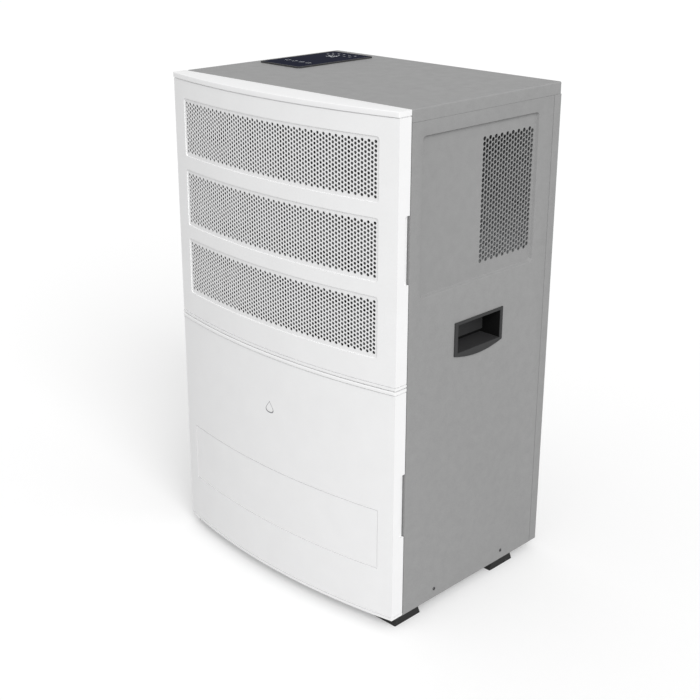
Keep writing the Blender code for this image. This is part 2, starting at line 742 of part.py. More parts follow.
def electrics():
    floor = BOTTOM + SHEET + GAP
    front = 0.080
    tray("electrical_box", (0.080, front, floor), (0.262, 0.195, 0.320), 1, -1, "galvanised")
    cover = (0.264, front - GAP - SHEET, 0.322)
    box("electrical_cover", (0.078, front - GAP, floor), cover, "galvanised")
    cylinder("run_capacitor", 0.020, (0.115, 0.130, floor + SHEET + GAP), 0.090, "Z", "aluminium", 24)


# ---------------------------------------------------------------- doors


def door_shell(name, low, high, cap, notch_sides, notch):
    """A moulded front, hollow and open behind. The cap on its top and the lip on its bottom stand proud."""
    rear = FRONT - DOOR_GAP
    body = prism(name, [[*arc(ARC_RADIUS, SIDE), (SIDE, rear), (-SIDE, rear)]], low, high, "white_coat")
    face = ARC_RADIUS - CAP_PROUD
    ahead = DOOR_NOSE - 0.01
    shave = prism(
        name + "_shave",
        [[*arc(face, SIDE + 0.01), (SIDE + 0.01, ahead), (-SIDE - 0.01, ahead)]],
        low + LIP_HEIGHT,
        high - cap,
    )
    lip = prism(
        name + "_lip_shave",
        [[*arc(face + CAP_PROUD / 2, SIDE + 0.01), (SIDE + 0.01, ahead), (-SIDE - 0.01, ahead)]],
        low - 0.01,
        low + LIP_HEIGHT + 0.001,
    )
    inner = SIDE - DOOR_WALL
    hollow = prism(
        name + "_hollow",
        [[*arc(face - DOOR_WALL, inner), (inner, rear + 0.01), (-inner, rear + 0.01)]],
        low + DOOR_WALL,
        high - DOOR_WALL,
    )
    cut(body, shave, lip, hollow)
    for side in notch_sides:
        grip = box(
            name + "_notch",
            (side * (SIDE + 0.01), rear - NOTCH_DEPTH, notch[0]),
            (side * (inner - 0.003), rear + NOTCH_DEPTH, notch[1]),
            round_axis=0,
            radius=0.006,
        )
        cut(body, grip)
    return body


def upper_door():
    low = SEAM_Z + DOOR_GAP / 2
    door = door_shell("upper_door", low, TOP, UPPER_CAP, (1,), UPPER_NOTCH)
    for bottom, top in GRILLE_Z:
        window = box(
            "upper_door_window",
            (-GRILLE_HALF, DOOR_NOSE - 0.01, bottom),
            (GRILLE_HALF, DOOR_EDGE + 0.008, top),
            round_axis=1,
            radius=0.006,
        )
        cut(door, window)
    for side in (-1, 1):
        rib = box(
            "upper_door_rib",
            (side * 0.2632, DOOR_EDGE - 0.004, 0.520),
            (side * 0.2655, DOOR_EDGE + 0.021, 0.944),
        )
        join(door, rib)
    for z in HINGE_Z:
        slot = box(
            "upper_door_hinge_slot",
            (-SIDE - 0.01, HINGE_Y - 0.006, z - 0.0025),
            (-SIDE + DOOR_WALL + 0.001, FRONT + 0.01, z + 0.0025),
        )
        cut(door, slot)
        for start in (z - 0.0065, z + 0.0025):
            join(
                door,
                box(
                    "upper_door_lug",
                    (-SIDE + DOOR_WALL / 2, HINGE_Y - 0.0045, start),
                    (HINGE_X + 0.0055, HINGE_Y + 0.004, start + 0.004),
                ),
            )
        cut(
            door,
            cylinder("upper_door_pin_hole", PIN_RADIUS + PIN_PLAY, (HINGE_X, HINGE_Y, z - 0.01), 0.02),
        )
    return door


def hinge_hardware():
    """Fixed brackets that reach into the door's slots, and the pins the door turns on."""
    for z, word in zip(HINGE_Z, ("bottom", "top")):
        eye, right, left = 0.0038, -0.260, -0.283
        angles = [math.radians(90 + 18 * i) for i in range(11)]
        ring = [(HINGE_X + eye * math.cos(a), HINGE_Y + eye * math.sin(a)) for a in angles]
        leg = [(right, HINGE_Y - eye), (right, FRONT - GAP), (left, FRONT - GAP), (left, HINGE_Y + eye)]
        bracket = prism(f"hinge_bracket_{word}", [ring + leg], z - 0.0015, z + 0.0015, "screw_steel")
        tab_end = (right - 0.0005, FRONT - GAP - 0.0012, z + 0.018)
        tab = box("hinge_bracket_tab", (left, FRONT - GAP, z - 0.0012), tab_end)
        hole = cylinder("hinge_bracket_hole", PIN_RADIUS + PIN_PLAY, (HINGE_X, HINGE_Y, z - 0.01), 0.02)
        cut(join(bracket, tab), hole)
        foot = (HINGE_X, HINGE_Y, z - 0.006)
        cylinder(f"hinge_pin_{word}", PIN_RADIUS, foot, 0.012, "Z", "screw_steel", 24)


def intake_grilles():
    outer = ARC_RADIUS - CAP_PROUD - DOOR_WALL - GAP
    half = GRILLE_HALF + 0.0058
    for (low, high), word in zip(GRILLE_Z, ("top", "middle", "bottom")):
        outline = [*arc(outer, half), *reversed(arc(outer - 0.001, half))]
        prism(f"intake_grille_{word}", [outline], low - 0.006, high + 0.006, "white_grille")


def air_filter():
    """The filter's moulded frame, held between the door's two ribs."""
    half, low, high = 0.2628, 0.522, 0.942
    frame = rectangle((-half, half), (low, high))
    holes = []
    rim, bar, columns, rows = 0.010, 0.004, 6, 5
    wide = (2 * half - 2 * rim + bar) / columns
    tall = (high - low - 2 * rim + bar) / rows
    for column in range(columns):
        left = -half + rim + column * wide
        for row in range(rows):
            foot = low + rim + row * tall
            holes.append(rectangle((left, left + wide - bar), (foot, foot + tall - bar)))
    prism("filter_frame", [frame, *holes], DOOR_EDGE + 0.009, DOOR_EDGE + 0.018, "dark_plastic", "XZ")


def door_magnet():
    box("door_magnet", (0.254, FRONT - 0.0060, 0.600), (0.272, FRONT + SHEET, 0.640), "dark_plastic")
    box("strike_plate", (0.252, FRONT - 0.0063, 0.598), (0.2922, FRONT - 0.0078, 0.642), "screw_steel")


def lower_door():
    low = BOTTOM + 0.001
    high = SEAM_Z - DOOR_GAP / 2
    door = door_shell("lower_door", low, high, LOWER_CAP, (-1, 1), LOWER_NOTCH)
    ahead = DOOR_NOSE - 0.01
    field = prism(
        "lower_door_field",
        [[*arc(ARC_RADIUS - CAP_PROUD - 0.001, PANEL_HALF), (PANEL_HALF, ahead), (-PANEL_HALF, ahead)]],
        *PANEL_Z,
    )
    return cut(door, field)


# ---------------------------------------------------------------- tank


def water_tank():
    """An open moulded tank with a rim, pivot holes for its bail and a post for the float."""
    tank = box(
        "water_tank",
        (-TANK_HALF, TANK_Y[0], TANK_Z[0]),
        (TANK_HALF, TANK_Y[1], TANK_Z[1]),
        "tank_plastic",
        2,
        0.014,
    )
    inside = box(
        "water_tank_inside",
        (-TANK_HALF + TANK_WALL, TANK_Y[0] + TANK_WALL, TANK_Z[0] + TANK_WALL),
        (TANK_HALF - TANK_WALL, TANK_Y[1] - TANK_WALL, TANK_Z[1] + 0.01),
        None,
        2,
        0.0115,
    )
    floor = TANK_Z[0] + TANK_WALL / 2
    post = cylinder("water_tank_post", POST_RADIUS, (FLOAT_X, FLOAT_Y, floor), 0.250 - floor, sides=24)
    under = (FLOAT_X, FLOAT_Y, FLOAT_Z - 0.004 - GAP)
    collar = cylinder("water_tank_collar", 0.009, under, 0.004, sides=24)
    pivots = cylinder("water_tank_pivots", BAIL_RADIUS + PIN_PLAY, (-0.2, BAIL_Y, BAIL_Z), 0.4, "X")
    cut(tank, inside)
    cut(tank, pivots)
    return join(tank, post, collar)


def tank_pieces():
    ring = [(POST_RADIUS + 0.0004, 0), (0.020, 0), (0.020, 0.022), (POST_RADIUS + 0.0004, 0.022)]
    turned("tank_float", ring[::-1], (FLOAT_X, FLOAT_Y, FLOAT_Z), "blue_plastic", steps=24)
    reach = BAIL_Y + BAIL_REACH
    arm = TANK_HALF + 0.008
    pin = TANK_HALF - 0.004
    path = rounded_path(
        [(-pin, BAIL_Y, BAIL_Z), (-arm, BAIL_Y, BAIL_Z), (-arm, reach, BAIL_Z), (arm, reach, BAIL_Z),
         (arm, BAIL_Y, BAIL_Z), (pin, BAIL_Y, BAIL_Z)],
        0.0055,
    )
    tube("tank_handle", path, BAIL_RADIUS, "dark_plastic")
    tray(
        "tank_link",
        (-0.100, DOOR_NOSE + 0.0082, 0.100),
        (0.100, TANK_Y[0] - GAP, 0.190),
        1,
        -1,
        "galvanised",
    )
    for word, side in (("left", -1), ("right", 1)):
        tray(
            f"tank_runner_{word}",
            (side * 0.120, TANK_Y[0], BOTTOM + SHEET + GAP),
            (side * 0.150, TANK_Y[1], TANK_Z[0] - GAP),
            2,
            -1,
            "galvanised",
        )
    behind = FRAME_FRONT + SHEET + GAP
    box("float_switch", (0.206, behind, 0.200), (0.228, behind + 0.014, 0.240), "dark_plastic")


# ---------------------------------------------------------------- joints


def hang(empty_name, place, names):
    """An empty on a joint, with the pieces that move about it as its children."""
    empty = bpy.data.objects.new(empty_name, None)
    empty.empty_display_size = 0.05
    empty.location = place
    PARTS.objects.link(empty)
    bpy.context.view_layer.update()
    for name in names:
        piece = bpy.data.objects[name]
        piece.parent = empty
        piece.matrix_parent_inverse = empty.matrix_world.inverted()
    return empty


def build():
    side_panel("right_side_panel", 1, True)
    side_panel("left_side_panel", -1, False)
    base_pan()
    feet()
    rear_panel()
    rear_fittings()
    top_lid()
    display()
    front_frame()
    mid_shelf()
    fan_deck()
    outlet_grille()
    handle_cup("right_handle_cup", 1)
    handle_cup("left_handle_cup", -1)
    fan_scroll()
    fan_wheel()
    fan_drive()
    coils()
    drip_tray()
    compressor()
    accumulator_and_pipes()
    electrics()
    upper_door()
    hinge_hardware()
    intake_grilles()
    air_filter()
    door_magnet()
    lower_door()
    water_tank()
    tank_pieces()

    door_pieces = ["upper_door", "filter_frame", "strike_plate", "hinge_pin_bottom", "hinge_pin_top"]
    door_pieces += [f"intake_grille_{word}" for word in ("top", "middle", "bottom")]
    hang("upper_door_hinge", (HINGE_X, HINGE_Y, HINGE_Z[0]), door_pieces)
    drawer = hang("tank_slide", (0, TANK_Y[0], TANK_Z[0]), ["lower_door", "water_tank", "tank_link"])
    bail = hang("tank_handle_pivot", (0, BAIL_Y, BAIL_Z), ["tank_handle"])
    float_guide = hang("tank_float_slide", (FLOAT_X, FLOAT_Y, FLOAT_Z), ["tank_float"])
    hang("fan_spin", (FAN_X, WHEEL_Y[0], FAN_Z), ["fan_wheel", "fan_shaft"])
    for empty in (bail, float_guide):
        empty.parent = drawer
        empty.matrix_parent_inverse = drawer.matrix_world.inverted()
    for obj in PARTS.objects:
        if obj.type == "MESH":
            obj.data.shade_smooth()
            obj.data.set_sharp_from_angle(angle=math.radians(30))


build()
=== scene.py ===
"""Looks of the cabinet dehumidifier: fine shells, punched sheets, materials, light and camera.

Metres, +Z up, the front faces -Y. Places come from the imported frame's nodes.
"""

import json
import math

import bmesh
import bpy
from mathutils import Matrix, Vector
from mathutils.geometry import tessellate_polygon


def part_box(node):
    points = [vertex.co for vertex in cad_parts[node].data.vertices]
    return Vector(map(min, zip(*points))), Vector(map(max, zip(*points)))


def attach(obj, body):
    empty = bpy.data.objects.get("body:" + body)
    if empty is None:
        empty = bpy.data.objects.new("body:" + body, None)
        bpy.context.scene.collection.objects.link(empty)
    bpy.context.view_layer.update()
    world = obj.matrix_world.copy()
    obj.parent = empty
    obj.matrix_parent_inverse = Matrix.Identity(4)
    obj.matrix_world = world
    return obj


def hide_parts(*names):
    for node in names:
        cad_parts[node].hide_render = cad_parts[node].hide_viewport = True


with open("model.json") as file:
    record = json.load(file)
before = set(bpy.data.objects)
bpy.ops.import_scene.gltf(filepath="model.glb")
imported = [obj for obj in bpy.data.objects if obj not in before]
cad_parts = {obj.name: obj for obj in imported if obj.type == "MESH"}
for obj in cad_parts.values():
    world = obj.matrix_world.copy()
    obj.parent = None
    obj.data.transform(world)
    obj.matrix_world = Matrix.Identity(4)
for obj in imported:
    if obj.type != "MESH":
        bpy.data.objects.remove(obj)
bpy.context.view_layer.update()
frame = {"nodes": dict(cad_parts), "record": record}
MM = 0.001

# ---------------------------------------------------------------- places taken from the frame

PANEL_LOW, PANEL_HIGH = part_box("right_side_panel")
LID_LOW, LID_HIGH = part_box("top_lid")
REAR_LOW, REAR_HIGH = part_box("rear_panel")
UPPER_LOW, UPPER_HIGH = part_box("upper_door")
LOWER_LOW, LOWER_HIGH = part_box("lower_door")
SIDE = PANEL_HIGH.x
FRONT = PANEL_LOW.y
DOOR_REAR = UPPER_HIGH.y
DOOR_NOSE = UPPER_LOW.y
DOOR_BULGE = 32 * MM  # how far the middle of the doors stands ahead of their side edges
DOOR_EDGE = DOOR_NOSE + DOOR_BULGE
ARC_RADIUS = (SIDE**2 + DOOR_BULGE**2) / (2 * DOOR_BULGE)
ARC_CENTRE = DOOR_NOSE + ARC_RADIUS

SHEET = 1.5 * MM
BEND = 2.5 * MM  # outer radius of a folded sheet edge
FOLD = 0.9 * MM  # outer radius of the tighter folds beside a seam
DOOR_WALL = 2.5 * MM
CAP_PROUD = 1.5 * MM
UPPER_CAP = 9.5 * MM
LOWER_CAP = 6 * MM
LIP_HEIGHT = 5 * MM
SIDE_STEP = 0.5 * MM  # the doors' side bands stand this far back below the cap
GROOVE = 1.8 * MM  # shadow groove under a cap
WINDOW_MARGIN = 6 * MM  # how far a grille reaches behind its window's edge
HINGE_PINS = ("hinge_pin_bottom", "hinge_pin_top")

PRESS_Y = (-0.147, 0.172)  # drawn field in each side sheet
PRESS_Z = (0.638, 0.923)
PRESS_DEPTH = 6 * MM
SIDE_FLANGE = 18 * MM
WELL_X = (-0.260, -0.062)  # service well in the rear sheet
WELL_Z = (0.072, 0.158)
WELL_DEPTH = 18 * MM
UPPER_NOTCH = (0.671, 0.793)  # heights of the finger notches in the doors' side edges
LOWER_NOTCH = (0.187, 0.314)
FIELD_HALF = 0.262  # shallow field in the lower front
FIELD_Z = (0.121, 0.242)

BEYOND = 10 * MM  # how far a cutter reaches past the surface that it cuts
SLIVER = 0.01 * MM  # below this, two places count as one
SHARP = 30  # degrees between faces, above which an edge is sharp


def middle(node):
    low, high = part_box(node)
    return (low + high) / 2


# ---------------------------------------------------------------- mesh building


def add(name, mesh, look, body, stands_for=()):
    """A finished piece: placed, coloured and riding on its body."""
    obj = bpy.data.objects.new(name, mesh)
    bpy.context.scene.collection.objects.link(obj)
    if look is not None:
        obj.data.materials.clear()
        obj.data.materials.append(LOOKS[look]())
    if body is not None:
        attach(obj, body)
    if stands_for:
        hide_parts(*stands_for)
    return obj


def mesh_from(name, bm):
    mesh = bpy.data.meshes.new(name)
    bm.to_mesh(mesh)
    bm.free()
    return mesh


def smooth(obj, angle=SHARP):
    obj.data.shade_smooth()
    obj.data.set_sharp_from_angle(angle=math.radians(angle))
    return obj


def soften(obj, width):
    """Rounds the sharp edges of a piece."""
    smooth(obj)
    bevel = obj.modifiers.new("edges", "BEVEL")
    bevel.width = width
    bevel.segments = 2
    bevel.limit_method = "ANGLE"
    bevel.angle_limit = math.radians(SHARP)
    bevel.harden_normals = True
    bevel.use_clamp_overlap = True
    return obj


def thicken(obj, thickness):
    """Gives an open sheet its thickness, behind its outer face."""
    solid = obj.modifiers.new("sheet", "SOLIDIFY")
    solid.thickness = thickness
    solid.offset = -1
    settle(obj)
    return smooth(obj, 35)


def settle(obj):
    """Applies a piece's modifiers to its mesh."""
    graph = bpy.context.evaluated_depsgraph_get()
    mesh = bpy.data.meshes.new_from_object(obj.evaluated_get(graph))
    obj.modifiers.clear()
    old = obj.data
    obj.data = mesh
    bpy.data.meshes.remove(old)
    return obj


def boolean(obj, cutter, operation="DIFFERENCE"):
    step = obj.modifiers.new("step", "BOOLEAN")
    step.operation = operation
    step.solver = "EXACT"
    step.object = cutter
    settle(obj)
    bpy.data.objects.remove(cutter)
    return obj


def helper(mesh):
    obj = bpy.data.objects.new("helper", mesh)
    bpy.context.scene.collection.objects.link(obj)
    return obj


def block(corner, opposite, round_axis=None, radius=0.0, steps=6):
    """A box between two corners, as a helper. Its edges along round_axis can be rounded."""
    low = Vector(map(min, corner, opposite))
    high = Vector(map(max, corner, opposite))
    bm = bmesh.new()
    bmesh.ops.create_cube(bm, size=1.0)
    bmesh.ops.scale(bm, vec=high - low, verts=bm.verts)
    if round_axis is not None:
        along = [e for e in bm.edges if abs((e.verts[0].co - e.verts[1].co)[round_axis]) > 1e-6]
        bmesh.ops.bevel(bm, geom=along, offset=radius, segments=steps, profile=0.5, affect="EDGES")
    bmesh.ops.translate(bm, vec=(low + high) / 2, verts=bm.verts)
    return helper(mesh_from("block", bm))


TURN = {
    "X": Matrix.Rotation(math.pi / 2, 4, "Y"),
    "Y": Matrix.Rotation(-math.pi / 2, 4, "X"),
    "Z": Matrix.Identity(4),
}


def rod(radius, start, length):
    """An upright round bar, as a helper."""
    bm = bmesh.new()
    bmesh.ops.create_cone(
        bm,
        cap_ends=True,
        segments=32,
        radius1=radius,
        radius2=radius,
        depth=length,
        matrix=Matrix.Translation(start) @ Matrix.Translation((0, 0, length / 2)),
    )
    return helper(mesh_from("rod", bm))


def prism_mesh(outlines, low, high):
    """A flat outline in XY, with any further outlines as holes, standing from low to high."""
    bm = bmesh.new()
    rings = []
    for outline in outlines:
        rings.append([bm.verts.new((x, y, low)) for x, y in outline])
    fill(bm, rings)
    made = bmesh.ops.extrude_face_region(bm, geom=list(bm.faces))
    moved = [v for v in made["geom"] if isinstance(v, bmesh.types.BMVert)]
    bmesh.ops.translate(bm, vec=(0, 0, high - low), verts=moved)
    bmesh.ops.recalc_face_normals(bm, faces=bm.faces)
    bmesh.ops.dissolve_limit(bm, angle_limit=math.radians(0.1), verts=bm.verts, edges=bm.edges)
    return mesh_from("prism", bm)


def fill(bm, rings):
    """Fills the flat space between the first ring of vertices and the others."""
    flat = [vert for ring in rings for vert in ring]
    for corners in tessellate_polygon([[vert.co for vert in ring] for ring in rings]):
        try:
            bm.faces.new([flat[i] for i in corners])
        except ValueError:
            continue


def bridge(bm, first, second):
    """Quads between two closed rings of as many vertices."""
    count = len(first)
    for i in range(count):
        j = (i + 1) % count
        bm.faces.new((first[i], first[j], second[j], second[i]))


def rounded(u, v, radius, inset=0.0, steps=6):
    """The outline of a rectangle with round corners, drawn in by inset."""
    corners = ((u[1], v[1], 0), (u[0], v[1], 1), (u[0], v[0], 2), (u[1], v[0], 3))
    reach = max(radius - inset, 0.2 * MM)
    points = []
    for a, b, quarter in corners:
        inward = math.radians(45 + 90 * quarter)
        ca = a - math.copysign(inset + reach, math.cos(inward))
        cb = b - math.copysign(inset + reach, math.sin(inward))
        for i in range(steps + 1):
            angle = math.radians(90 * quarter + 90 * i / steps)
            points.append((ca + reach * math.cos(angle), cb + reach * math.sin(angle)))
    return points


def quarter_bend(radius, steps=4):
    """(inset, depth) pairs round a folded edge, from the flat face to the flange."""
    pairs = []
    for i in range(steps + 1):
        angle = math.radians(90 * i / steps)
        pairs.append((radius * (1 - math.sin(angle)), radius * (1 - math.cos(angle))))
    return pairs


def drawn_wall(run, depth, radius):
    """(inset, depth) pairs down a drawn recess's wall, rounded at its top and its foot."""
    steps = 4
    slope = math.atan2(depth, run)
    reach = radius * math.tan(slope / 2)
    top = []
    for i in range(steps + 1):
        turn = slope * i / steps
        top.append((radius * math.sin(turn), radius * (1 - math.cos(turn))))
    foot = [(run + 2 * reach - a, depth - b) for a, b in reversed(top)]
    return top + foot


def face_outward(bm, towards):
    """Turns an open sheet's faces towards a direction."""
    bmesh.ops.recalc_face_normals(bm, faces=bm.faces)
    if sum(face.normal.dot(towards) * face.calc_area() for face in bm.faces) < 0:
        bmesh.ops.reverse_faces(bm, faces=bm.faces)


def turned_mesh(profile, place, axis="Z", steps=40):
    """A turned solid from (radius, height) pairs, which start and end on the axis or form a loop."""
    bm = bmesh.new()
    turns = [2 * math.pi / steps * i for i in range(steps)]
    closed = profile[0][0] > 0 or profile[-1][0] > 0
    rings = []
    for radius, height in profile:
        if radius == 0:
            rings.append([bm.verts.new((0, 0, height))] * steps)
            continue
        rings.append(
            [bm.verts.new((radius * math.cos(a), radius * math.sin(a), height)) for a in turns]
        )
    pairs = list(zip(rings, rings[1:]))
    if closed:
        pairs.append((rings[-1], rings[0]))
    for first, second in pairs:
        for i in range(steps):
            j = (i + 1) % steps
            corners = dict.fromkeys((first[i], first[j], second[j], second[i]))
            bm.faces.new(list(corners))
    bmesh.ops.recalc_face_normals(bm, faces=bm.faces)
    bm.transform(Matrix.Translation(place) @ TURN[axis])
    return mesh_from("turned", bm)


# ---------------------------------------------------------------- punched sheets


def hex_cells(bm, centres, pitch, radius, put):
    """Six-sided cells, each with a round hole. Returns the ring round all of them."""
    reach = pitch / math.sqrt(3)
    shared = {}
    uses = {}
    for u, v in centres:
        inner, outer = [], []
        for k in range(12):
            angle = math.radians(30 * k)
            length = reach if k % 2 == 0 else pitch / 2
            a, b = u + length * math.cos(angle), v + length * math.sin(angle)
            key = (round(a / MM, 3), round(b / MM, 3))
            if key not in shared:
                shared[key] = bm.verts.new(put(a, b))
            outer.append(shared[key])
            inner.append(bm.verts.new(put(u + radius * math.cos(angle), v + radius * math.sin(angle))))
        for k in range(12):
            j = (k + 1) % 12
            bm.faces.new((inner[k], outer[k], outer[j], inner[j]))
            edge = (outer[k], outer[j])
            uses[frozenset(edge)] = None if frozenset(edge) in uses else edge
    after = dict(edge for edge in uses.values() if edge)
    start = next(iter(after))
    ring = [start]
    while after[ring[-1]] is not start:
        ring.append(after[ring[-1]])
    return ring


def staggered(u, v, pitch):
    """Hole centres in staggered columns between u and v pairs. The first column starts at the top."""
    step = pitch * math.sqrt(3) / 2
    columns = round((u[1] - u[0]) / step)
    rows = round((v[1] - v[0]) / pitch)
    centres = []
    for i in range(columns + 1):
        odd = i % 2
        for j in range(rows + 1 - odd):
            centres.append((u[0] + i * step, v[1] - pitch * (j + odd / 2)))
    return centres


# ---------------------------------------------------------------- materials


def shader_of(name, colour, roughness, metallic=0.0):
    mat = bpy.data.materials.new(name)
    mat.use_nodes = True
    tree = mat.node_tree
    bsdf = tree.nodes["Principled BSDF"]
    bsdf.inputs["Base Color"].default_value = (*colour, 1)
    bsdf.inputs["Roughness"].default_value = roughness
    bsdf.inputs["Metallic"].default_value = metallic
    return mat, tree, bsdf


def where(tree, scale=(1, 1, 1)):
    """Object coordinates, in metres."""
    coords = tree.nodes.new("ShaderNodeTexCoord")
    mapping = tree.nodes.new("ShaderNodeMapping")
    mapping.inputs["Scale"].default_value = scale
    tree.links.new(coords.outputs["Object"], mapping.inputs["Vector"])
    return mapping.outputs["Vector"]


def noise(tree, place, scale, detail=3.0, roughness=0.5):
    node = tree.nodes.new("ShaderNodeTexNoise")
    node.inputs["Scale"].default_value = scale
    node.inputs["Detail"].default_value = detail
    node.inputs["Roughness"].default_value = roughness
    tree.links.new(place, node.inputs["Vector"])
    return node.outputs["Fac"]


def ramp(tree, factor, stops):
    """A colour ramp: (position, colour) pairs."""
    node = tree.nodes.new("ShaderNodeValToRGB")
    elements = node.color_ramp.elements
    for element, (position, colour) in zip(elements, (stops[0], stops[-1])):
        element.position = position
        element.color = (*colour, 1)
    for position, colour in stops[1:-1]:
        elements.new(position).color = (*colour, 1)
    tree.links.new(factor, node.inputs["Fac"])
    return node.outputs["Color"]


def shade(colour, amount):
    return tuple(min(channel * amount, 1) for channel in colour)


def mottle(tree, bsdf, colour, scale, spread):
    """Slight unevenness of a colour."""
    value = noise(tree, where(tree), scale, 4.0, 0.6)
    stops = [(0.3, shade(colour, 1 - spread)), (0.7, shade(colour, 1 + spread))]
    tree.links.new(ramp(tree, value, stops), bsdf.inputs["Base Color"])


def uneven_gloss(tree, bsdf, low, high, scale):
    value = noise(tree, where(tree), scale, 4.0)
    spread = tree.nodes.new("ShaderNodeMapRange")
    spread.inputs["From Min"].default_value = 0.3
    spread.inputs["From Max"].default_value = 0.7
    spread.inputs["To Min"].default_value = low
    spread.inputs["To Max"].default_value = high
    tree.links.new(value, spread.inputs["Value"])
    tree.links.new(spread.outputs["Result"], bsdf.inputs["Roughness"])


def grain(tree, bsdf, layers):
    """Bumps from (scale, height in metres, stretch) layers of noise."""
    normal = None
    for scale, height, stretch in layers:
        bump = tree.nodes.new("ShaderNodeBump")
        bump.inputs["Strength"].default_value = 1.0
        bump.inputs["Distance"].default_value = height
        tree.links.new(noise(tree, where(tree, stretch), scale, 2.0), bump.inputs["Height"])
        if normal is not None:
            tree.links.new(normal, bump.inputs["Normal"])
        normal = bump.outputs["Normal"]
    tree.links.new(normal, bsdf.inputs["Normal"])


EVEN = (1, 1, 1)


def grey_coat():
    """Grey powder coat with a fine, slightly speckled texture."""
    colour = (0.305, 0.305, 0.305)
    mat, tree, bsdf = shader_of("grey_powder_coat", colour, 0.5)
    bsdf.inputs["Specular IOR Level"].default_value = 0.2
    fine = noise(tree, where(tree), 900, 2.0, 0.7)
    broad = noise(tree, where(tree), 60, 3.0)
    blend = tree.nodes.new("ShaderNodeMath")
    blend.operation = "MULTIPLY_ADD"
    blend.inputs[1].default_value = 0.35
    tree.links.new(broad, blend.inputs[0])
    tree.links.new(fine, blend.inputs[2])
    stops = [(0.45, shade(colour, 0.90)), (0.68, colour), (0.95, shade(colour, 1.10))]
    tree.links.new(ramp(tree, blend.outputs["Value"], stops), bsdf.inputs["Base Color"])
    uneven_gloss(tree, bsdf, 0.46, 0.56, 40)
    grain(tree, bsdf, [(1100, 0.03 * MM, EVEN), (260, 0.03 * MM, EVEN)])
    return mat


def white_coat():
    """White satin moulding with a faint orange peel."""
    colour = (0.89, 0.89, 0.893)
    mat, tree, bsdf = shader_of("white_moulding", colour, 0.36)
    bsdf.inputs["Specular IOR Level"].default_value = 0.4
    mottle(tree, bsdf, colour, 18, 0.012)
    uneven_gloss(tree, bsdf, 0.33, 0.42, 30)
    grain(tree, bsdf, [(420, 0.012 * MM, EVEN), (60, 0.04 * MM, EVEN)])
    return mat


def white_grille():
    """White powder coat on perforated sheet."""
    colour = (0.84, 0.84, 0.843)
    mat, tree, bsdf = shader_of("white_powder_coat", colour, 0.45)
    mottle(tree, bsdf, colour, 90, 0.02)
    grain(tree, bsdf, [(1300, 0.02 * MM, EVEN)])
    return mat


def galvanised():
    """Zinc-coated sheet: dull spangles with differing gloss."""
    mat, tree, bsdf = shader_of("galvanised_steel", (0.55, 0.56, 0.57), 0.45, 0.85)
    spangle = tree.nodes.new("ShaderNodeTexVoronoi")
    spangle.inputs["Scale"].default_value = 110
    tree.links.new(where(tree), spangle.inputs["Vector"])
    tint = tree.nodes.new("ShaderNodeSeparateColor")
    tree.links.new(spangle.outputs["Color"], tint.inputs["Color"])
    stops = [(0.0, (0.46, 0.47, 0.48)), (0.5, (0.56, 0.57, 0.58)), (1.0, (0.66, 0.67, 0.68))]
    tree.links.new(ramp(tree, tint.outputs["Red"], stops), bsdf.inputs["Base Color"])
    gloss = ramp(tree, tint.outputs["Green"], [(0.0, (0.34,) * 3), (1.0, (0.56,) * 3)])
    tree.links.new(gloss, bsdf.inputs["Roughness"])
    grain(tree, bsdf, [(500, 0.01 * MM, EVEN)])
    return mat


def plastic(name, colour, roughness, height, scale=700, gloss=0.25):
    mat, tree, bsdf = shader_of(name, colour, roughness)
    bsdf.inputs["Specular IOR Level"].default_value = gloss
    mottle(tree, bsdf, colour, 120, 0.06)
    uneven_gloss(tree, bsdf, roughness - 0.05, roughness + 0.07, 60)
    grain(tree, bsdf, [(scale, height, EVEN), (scale / 6, height, EVEN)])
    return mat


def dark_plastic():
    return plastic("dark_grained_plastic", (0.040, 0.040, 0.041), 0.5, 0.03 * MM, 900)


# Near-black painted shade for the grip cavity's end wall and the faces deep behind its plate.
def deep_black():
    return plastic("painted_shade_liner", (0.008, 0.008, 0.008), 0.8, 0.02 * MM, 500, 0.05)


def rubber():
    return plastic("black_rubber", (0.028, 0.028, 0.028), 0.72, 0.06 * MM, 380)


def blue_plastic():
    return plastic("blue_foam", (0.05, 0.16, 0.42), 0.5, 0.10 * MM, 420)


def display():
    """Navy-black glass with a low reflection."""
    colour = (0.015, 0.017, 0.031)
    mat, tree, bsdf = shader_of("display_glass", colour, 0.09)
    bsdf.inputs["IOR"].default_value = 1.006
    mottle(tree, bsdf, colour, 14, 0.10)
    uneven_gloss(tree, bsdf, 0.07, 0.13, 22)
    return mat


def marks():
    mat, tree, bsdf = shader_of("display_marks", (0.75, 0.78, 0.80), 0.5)
    mottle(tree, bsdf, (0.75, 0.78, 0.80), 300, 0.04)
    return mat


def print_ink():
    mat, tree, bsdf = shader_of("grey_print", (0.27, 0.27, 0.28), 0.5)
    mottle(tree, bsdf, (0.27, 0.27, 0.28), 500, 0.06)
    return mat


def screw_steel():
    """Dark zinc-plated steel."""
    colour = (0.16, 0.16, 0.165)
    mat, tree, bsdf = shader_of("dark_zinc", colour, 0.38, 0.9)
    mottle(tree, bsdf, colour, 400, 0.15)
    uneven_gloss(tree, bsdf, 0.30, 0.48, 300)
    grain(tree, bsdf, [(900, 0.01 * MM, EVEN)])
    return mat


def aluminium():
    """Bare aluminium with fine drawing lines."""
    colour = (0.75, 0.76, 0.77)
    mat, tree, bsdf = shader_of("bare_aluminium", colour, 0.34, 1.0)
    mottle(tree, bsdf, colour, 60, 0.05)
    uneven_gloss(tree, bsdf, 0.28, 0.42, 80)
    grain(tree, bsdf, [(60, 0.02 * MM, (40, 40, 1))])
    return mat


